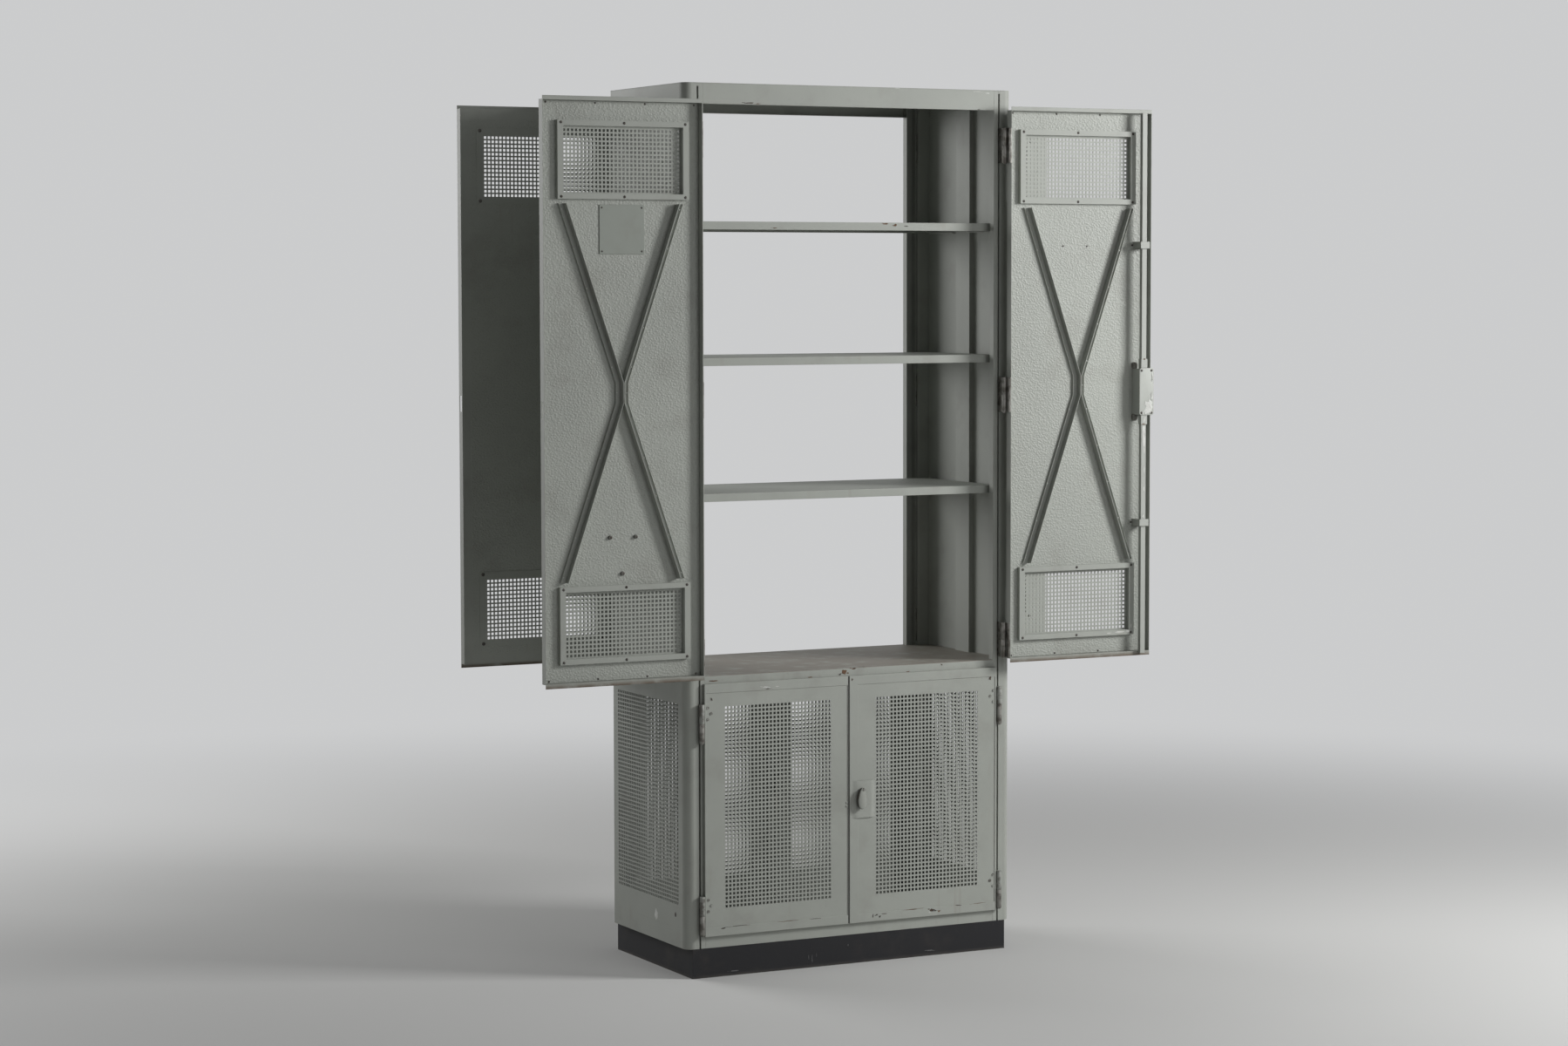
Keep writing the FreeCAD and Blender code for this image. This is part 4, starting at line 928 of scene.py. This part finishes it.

# %% [markdown]
# ## The turn handle of the lower doors
#
# The small handle is a leaf-shaped knob: narrow and low at the top, broad below, with a bright pin
# at its upper end. Its rim is near black, painted shade for the side that is turned from the light,
# so that from the left it shows as a dark crescent. An egg-shaped outline, drawn in at each layer
# towards the front, gives that swelling form. The latch tongue behind the door stays as simple as
# the construction has it.

# %% Turn handles
KNOB_TOP, KNOB_HEIGHT = 0.406, 0.048
KNOB_BROAD, KNOB_TAPER = 0.0130, 0.42
PAD_PLANE = 0.2142
# distance out from the pad and share of the outline, for the rim in painted shade and for the pale face
KNOB_SHADED_RIM = ((0.0028, 0.90), (0.0036, 0.98), (0.0100, 0.985))
KNOB_FACE = ((0.0090, 0.99), (0.0106, 1.0), (0.0116, 0.96), (0.0122, 0.88))
COLLAR_OUT, COLLAR = 0.0004, [(0.0080, 0), (0.0080, 0.002), (0.0062, 0.0035)]
PIN_OUT, PIN = 0.0028, [(0.0034, 0), (0.0034, 0.0092), (0.0024, 0.0108)]
PIN_ASIDE, SPINDLE_RADIUS = 0.0030, 0.0040
TONGUE_HALF, TONGUE_THICK = 0.006, 0.002


def egg_outline(centre_x, centre_z, half_wide, half_tall, taper, steps=28):
    """An upright egg, broader below: its half width shrinks towards the top."""
    points = []
    for step in range(steps):
        angle = 2 * math.pi * step / steps
        rise = math.sin(angle)
        wide = half_wide * (1 - taper * (rise + 1) / 2)
        points.append((centre_x + wide * math.cos(angle), centre_z + half_tall * rise))
    return points


for end, facing in ENDS:
    node = "lower_handle_" + end
    tongue_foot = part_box(node)[0].z
    crown, back = planes(node, facing)
    pad = facing * PAD_PLANE
    egg = egg_outline(SPINDLE_X, KNOB_TOP - KNOB_HEIGHT / 2, KNOB_BROAD, KNOB_HEIGHT / 2, KNOB_TAPER)
    shell = Shell()
    # the rim takes the near-black chip material as painted shade
    pushed(shell, egg, pad, facing, KNOB_SHADED_RIM, mark=2)
    pushed(shell, egg, pad, facing, KNOB_FACE)
    turned(shell, (SPINDLE_X, pad + facing * COLLAR_OUT, SPINDLE_HEIGHT), facing, COLLAR, 20)
    turned(shell, (SPINDLE_X, back, SPINDLE_HEIGHT), facing,
           [(SPINDLE_RADIUS, 0), (SPINDLE_RADIUS, abs(back - pad))], 16)
    shell.block((SPINDLE_X - TONGUE_HALF, back, tongue_foot),
                (SPINDLE_X + TONGUE_HALF, back + facing * TONGUE_THICK, SPINDLE_HEIGHT + TONGUE_HALF))
    turned(shell, (SPINDLE_X + PIN_ASIDE, pad + facing * PIN_OUT, KNOB_TOP - PIN_ASIDE), facing, PIN, mark=1)
    shell.made(node + "_dressed", node, [pale_paint, hinge_steel, dark_chip_and_shade], node)
    print(node, "crown at", round(crown * 1000, 1), "mm")

# %% [markdown]
# Under the handle the sheet is pressed up into a pad. Only its top and bottom edges are crisp. To
# the sides it runs out into the sheet so gently that no line shows. The construction's square pad
# is covered by a pressing, a hair higher, whose sides follow an S-curve. Its back is sunk into the
# steel of the door's band and sheet, which lie at two depths.

# %% The pressed pads under the turn handles
PAD_FOOT, PAD_TALL = 0.3368, 0.0854
PAD_FLAT_LEFT, PAD_FLAT_RIGHT = 0.0095, 0.0425
PAD_SPREAD, PAD_STEPS = 0.0150, 8
PAD_RISE, SHEET_DROP, SHEET_LAP = 0.00215, 0.0012, 0.0005
BAND_PLANE = 0.2122


def s_curve(share):
    """Rises from nothing to one, level at both ends."""
    return share * share * (3 - 2 * share)


def pad_section(sheet_edge):
    """The pad's section as (x, rise): over the flat to the sheet, and back inside the steel."""
    shares = [step / PAD_STEPS for step in range(PAD_STEPS + 1)]
    points = [(PAD_FLAT_LEFT - PAD_SPREAD * (1 - share), PAD_RISE * s_curve(share)) for share in shares]
    points += [(PAD_FLAT_RIGHT + PAD_SPREAD * share, PAD_RISE - (PAD_RISE + SHEET_DROP) * s_curve(share))
               for share in shares]
    return points + [(points[-1][0], -1.5 * SHEET_DROP), (sheet_edge, -1.5 * SHEET_DROP),
                     (sheet_edge, -0.5 * SHEET_DROP), (points[0][0], -0.5 * SHEET_DROP)]


for end, facing in ENDS:
    door = "lower_door_%s_right" % end
    section = pad_section(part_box(door + "_sheet")[0].x + SHEET_LAP)
    shell = Shell()
    shell.lofted([[(x, facing * (BAND_PLANE + rise), z) for x, rise in section]
                  for z in (PAD_FOOT, PAD_FOOT + PAD_TALL)])
    shell.made(door + "_pad", door, [pale_paint])
    print(door, "pad with", len(section), "points")

# %% [markdown]
# Two screws of the keeper show beside the meeting edge of the left lower door. A near-black strip on
# the narrow fold there is painted shade, cast where the right door stands proud, and it makes the
# doors seem parted by a dark line.

# %% Keeper screws and the painted shade on the meeting edge of the left lower doors
KEEPER_X, KEEPER_HEIGHTS, KEEPER_SCREW = -0.018, (0.3736, 0.3656), 0.0030
EDGE_SHADE_WIDTH, SHADE_INSET, SHADE_THICK = 0.0030, 0.0008, 0.0001

for end, facing in ENDS:
    door = "lower_door_%s_left" % end
    face = planes(door + "_sheet", facing)[0]
    shell = Shell()
    for height in KEEPER_HEIGHTS:
        screw(shell, (KEEPER_X, face, height), facing, KEEPER_SCREW)
    shell.made(door + "_keeper_screws", door, [hinge_paint, slot_and_gap_shade])
    # a near-black strip of painted shade along the meeting edge
    low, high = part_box(door + "_frame")
    shell = Shell()
    shell.block((high.x - EDGE_SHADE_WIDTH, facing * BAND_PLANE, low.z + SHADE_INSET),
                (high.x - SHADE_THICK, facing * (BAND_PLANE + SHADE_THICK), high.z - SHADE_INSET))
    shell.made(door + "_painted_edge_shade", door, [slot_and_gap_shade])
    print(door, "keeper screws")

# %% [markdown]
# ## Chips and rust
#
# The front edges have lost flakes of paint, some down to dark steel and some to a white ground
# coat, and rust has gathered on the deck's edge. Each flake is a thin scale with a ragged outline,
# so it has an edge that catches light, and it rides on the body of the piece that it sits on.

# %% A ragged scale
SCALE_THICK, SCALE_POINTS = 0.00018, 15
SHORTEST_REACH, UPPER_SHARE, SPOT_STEP = 0.62, 0.93, 0.00001
FRONT_PLANE = ((1, 0, 0), (0, 0, 1), (0, -1, 0))
LEFT_PLANE = ((0, -1, 0), (0, 0, 1), (-1, 0, 0))
DARK, WHITE, RUST = 0, 1, 2
FLAKE_MATERIALS = [dark_chip_and_shade, white_chip_and_highlight, rust_spot]


def scale(shell, centre, wide, tall, seed, mark=0, plane=FRONT_PLANE):
    """A thin ragged flake about centre: plane gives its across, upward and outward directions."""
    chance = random.Random(seed)
    across, upward, outward = (Vector(direction) for direction in plane)
    reaches = [SHORTEST_REACH + (1 - SHORTEST_REACH) * chance.random() for _ in range(SCALE_POINTS)]
    rings = []
    for lift, draw in ((0.0, 1.0), (SCALE_THICK, UPPER_SHARE)):
        ring = []
        for step, reach in enumerate(reaches):
            angle = 2 * math.pi * step / SCALE_POINTS
            ring.append(Vector(centre) + across * (wide / 2 * reach * draw * math.cos(angle))
                        + upward * (tall / 2 * reach * draw * math.sin(angle)) + outward * lift)
        rings.append(ring)
    shell.lofted(rings, mark)


def flaking(shell, centre, wide, tall, seed, mark=0, count=5):
    """A worn spot on a front face: one larger scale with smaller ones scattered round it."""
    chance = random.Random(seed * 7 + 1)
    scale(shell, centre, wide * 0.62, tall * 0.8, seed, mark)
    for index in range(count):
        share = chance.uniform(0.16, 0.42)
        aside = wide * chance.uniform(-0.42, 0.42)
        above = tall * chance.uniform(-0.38, 0.38)
        spot = Vector(centre) + Vector((aside, -SPOT_STEP * (index + 1), above))
        scale(shell, spot, wide * share, tall * share, seed + 100 + index, mark)


def white_scales(shell, face, spots, first_seed, step_out=0.0, middle=0.0):
    """White scales, each with its x from the middle and one step further out than the last."""
    for index, (x, z, wide, tall) in enumerate(spots):
        scale(shell, (middle + x, face - index * step_out, z), wide, tall, first_seed + index, WHITE)


def worn_spots(name, body, face, spots, first_seed):
    """One object for a list of spots: centre x, height, width, tallness and kind of each."""
    shell = Shell()
    for index, (x, z, wide, tall, kind) in enumerate(spots):
        flaking(shell, (x, face, z), wide, tall, first_seed + index, kind)
    shell.made(name, body, FLAKE_MATERIALS)
    print(name, len(spots), "spots")


print("scales are", SCALE_THICK * 1000, "mm thick")

# %% Flakes on the carcass
HEADER_FLAKES = ((0.356, 1.9930, 0.012, 0.0040, WHITE), (0.330, 1.9960, 0.030, 0.0026, WHITE),
                 (-0.258, 1.9570, 0.034, 0.0040, DARK), (-0.236, 1.9560, 0.012, 0.0030, RUST),
                 (0.120, 1.9985, 0.030, 0.0016, WHITE), (0.331, 1.9550, 0.012, 0.0025, DARK))
DECK_FLAKES = ((-0.352, 0.6700, 0.040, 0.0035, RUST), (-0.106, 0.6655, 0.022, 0.0030, RUST),
               (-0.020, 0.6720, 0.024, 0.0120, RUST), (0.004, 0.6790, 0.018, 0.0045, RUST),
               (-0.031, 0.6680, 0.010, 0.0045, DARK), (0.236, 0.6765, 0.006, 0.0050, DARK),
               (0.006, 0.6800, 0.008, 0.0040, DARK), (0.145, 0.6652, 0.016, 0.0022, RUST))
worn_spots("carcass_front_flakes", "carcass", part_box("headers")[0].y, HEADER_FLAKES + DECK_FLAKES, 0)

side_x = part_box("lower_side_left")[0].x
shell = Shell()
scale(shell, (side_x, -0.043, 0.123), 0.020, 0.030, 40, WHITE, LEFT_PLANE)
scale(shell, (side_x, -0.146, 0.139), 0.012, 0.012, 41, DARK, LEFT_PLANE)
shell.made("side_flakes", "carcass", FLAKE_MATERIALS)

plinth_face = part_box("plinth")[0].y
SCUFFS = ((-0.112, 0.024, 0.0016, 0.020), (-0.103, 0.020, 0.0022, 0.024), (-0.092, 0.028, 0.0014, 0.014),
          (-0.010, 0.043, 0.0030, 0.006), (0.205, 0.012, 0.030, 0.004), (-0.300, 0.010, 0.040, 0.003))
shell = Shell()
for index, (x, z, wide, tall) in enumerate(SCUFFS):
    flaking(shell, (x, plinth_face, z), wide, tall, 300 + index, count=3)
shell.made("plinth_scuffs", "carcass", [scuff_grey])

shelf_low, shelf_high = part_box("shelf_upper")
# here the second value is the drop from the top of the shelf
SHELF_FLAKES = ((0.104, 0.003, 0.026, 0.005, RUST), (0.129, 0.006, 0.016, 0.006, RUST),
                (0.158, 0.008, 0.012, 0.004, DARK), (-0.180, 0.014, 0.020, 0.003, RUST))
shelf_spots = [(x, shelf_high.z - drop, wide, tall, kind) for x, drop, wide, tall, kind in SHELF_FLAKES]
worn_spots("shelf_flakes", "carcass", shelf_low.y, shelf_spots, 60)

# %% Flakes on the lower doors
RIGHT_FLAKES = ((0.050, 0.107, 0.004, 0.012, DARK), (0.060, 0.109, 0.010, 0.005, DARK),
                (0.068, 0.104, 0.006, 0.007, DARK), (0.079, 0.110, 0.014, 0.003, DARK),
                (0.205, 0.108, 0.024, 0.010, DARK), (0.224, 0.104, 0.010, 0.006, RUST),
                (0.199, 0.104, 0.008, 0.005, WHITE), (0.275, 0.1132, 0.022, 0.003, DARK),
                (0.150, 0.1137, 0.060, 0.0018, RUST), (0.330, 0.1137, 0.050, 0.0018, RUST),
                (0.360, 0.640, 0.006, 0.010, DARK), (-0.004, 0.655, 0.006, 0.008, DARK))
LEFT_FLAKES = ((-0.332, 0.1110, 0.018, 0.0045, DARK), (-0.290, 0.1137, 0.070, 0.0020, DARK),
               (-0.168, 0.1137, 0.060, 0.0018, RUST), (-0.100, 0.1134, 0.030, 0.0022, DARK),
               (-0.226, 0.6500, 0.028, 0.0060, WHITE), (-0.219, 0.6465, 0.020, 0.0032, DARK),
               (-0.196, 0.6505, 0.012, 0.0030, WHITE), (-0.360, 0.6300, 0.005, 0.0080, DARK))
for side, flakes in (("right", RIGHT_FLAKES), ("left", LEFT_FLAKES)):
    door = "lower_door_front_" + side
    worn_spots(door + "_flakes", door, -BAND_PLANE, flakes, 80)

# centre x, height, width and tallness of each scratch on the liner and rub on the ventilator's frame
SCRATCHES = ((0.7080, 1.5090, 0.008, 0.0016), (0.7125, 1.5065, 0.010, 0.0014),
             (0.7105, 1.5115, 0.005, 0.0014), (0.7150, 1.5040, 0.004, 0.0030))
VENT_RUBS = ((0.6990, 0.7345, 0.030, 0.0050), (0.7220, 0.7350, 0.016, 0.0070),
             (0.6700, 0.7330, 0.016, 0.0025), (0.7300, 0.7480, 0.004, 0.0120))
shell = Shell()
white_scales(shell, -LINER_PLANE, SCRATCHES, 260)
white_scales(shell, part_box("upper_door_front_right_vents")[0].y, VENT_RUBS, 270)
shell.made("liner_scratches", "upper_door_front_right", FLAKE_MATERIALS)
print("liner scratches made")

# %% [markdown]
# Hands have worn the lock most. The lower right of its lid is white down to the ground coat, the rod
# below it as far as a hand reaches, and the couplers have rusted where they end. Spots that overlap
# lie one step further out each, so that no two faces share a plane.

# %% Paint worn white on the lock
STEP_OUT, COUPLER_RISE = 0.00007, 0.002
rod_low, rod_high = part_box("lock_front_lower_rod")
rod_middle = (rod_low.x + rod_high.x) / 2
coupler_face = rod_low.y
# centre x, height, width and tallness of each worn spot, on the lid and beside the rod's middle
LID_PATCHES = ((0.7628, 1.2645, 0.0230, 0.0340), (0.7590, 1.2570, 0.0250, 0.0150))
LID_WEAR = ((0.7600, 1.2640, 0.022, 0.030), (0.7560, 1.2560, 0.018, 0.014), (0.7665, 1.2720, 0.012, 0.026),
            (0.7540, 1.2730, 0.012, 0.016), (0.7660, 1.2535, 0.012, 0.008), (0.7705, 1.2900, 0.006, 0.022),
            (0.7715, 1.3360, 0.005, 0.022), (0.7450, 1.2510, 0.008, 0.008))
ROD_WEAR = ((0.0000, 1.206, 0.0096, 0.034), (0.0004, 1.184, 0.0086, 0.034), (0.0012, 1.163, 0.0056, 0.022),
            (0.0016, 1.118, 0.0036, 0.026), (0.0010, 1.072, 0.0040, 0.014), (-0.0010, 1.008, 0.0050, 0.012))
shell = Shell()
white_scales(shell, -LID_FACE, LID_PATCHES, 220, STEP_OUT)
for index, (x, z, wide, tall) in enumerate(LID_WEAR):
    step_out = (index + len(LID_PATCHES)) * STEP_OUT
    flaking(shell, (x, -LID_FACE - step_out, z), wide, tall, 200 + index, WHITE, 7)
shell.made("lock_lid_wear", "upper_door_front_right", FLAKE_MATERIALS)
shell = Shell()
white_scales(shell, coupler_face + COUPLER_RISE, ROD_WEAR, 230, STEP_OUT, rod_middle)
flaking(shell, (rod_middle + 0.001, coupler_face, 1.236), 0.010, 0.018, 240, WHITE, 3)
flaking(shell, (rod_middle - 0.001, coupler_face, 1.225), 0.012, 0.004, 241, RUST, 3)
shell.made("lower_rod_wear", "lock_front_lower_rod", FLAKE_MATERIALS)
shell = Shell()
flaking(shell, (rod_middle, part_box("lock_front_upper_rod")[0].y, 1.378), 0.012, 0.005, 242, RUST, 3)
shell.made("upper_rod_rust", "lock_front_upper_rod", FLAKE_MATERIALS)
print("lock wear made")
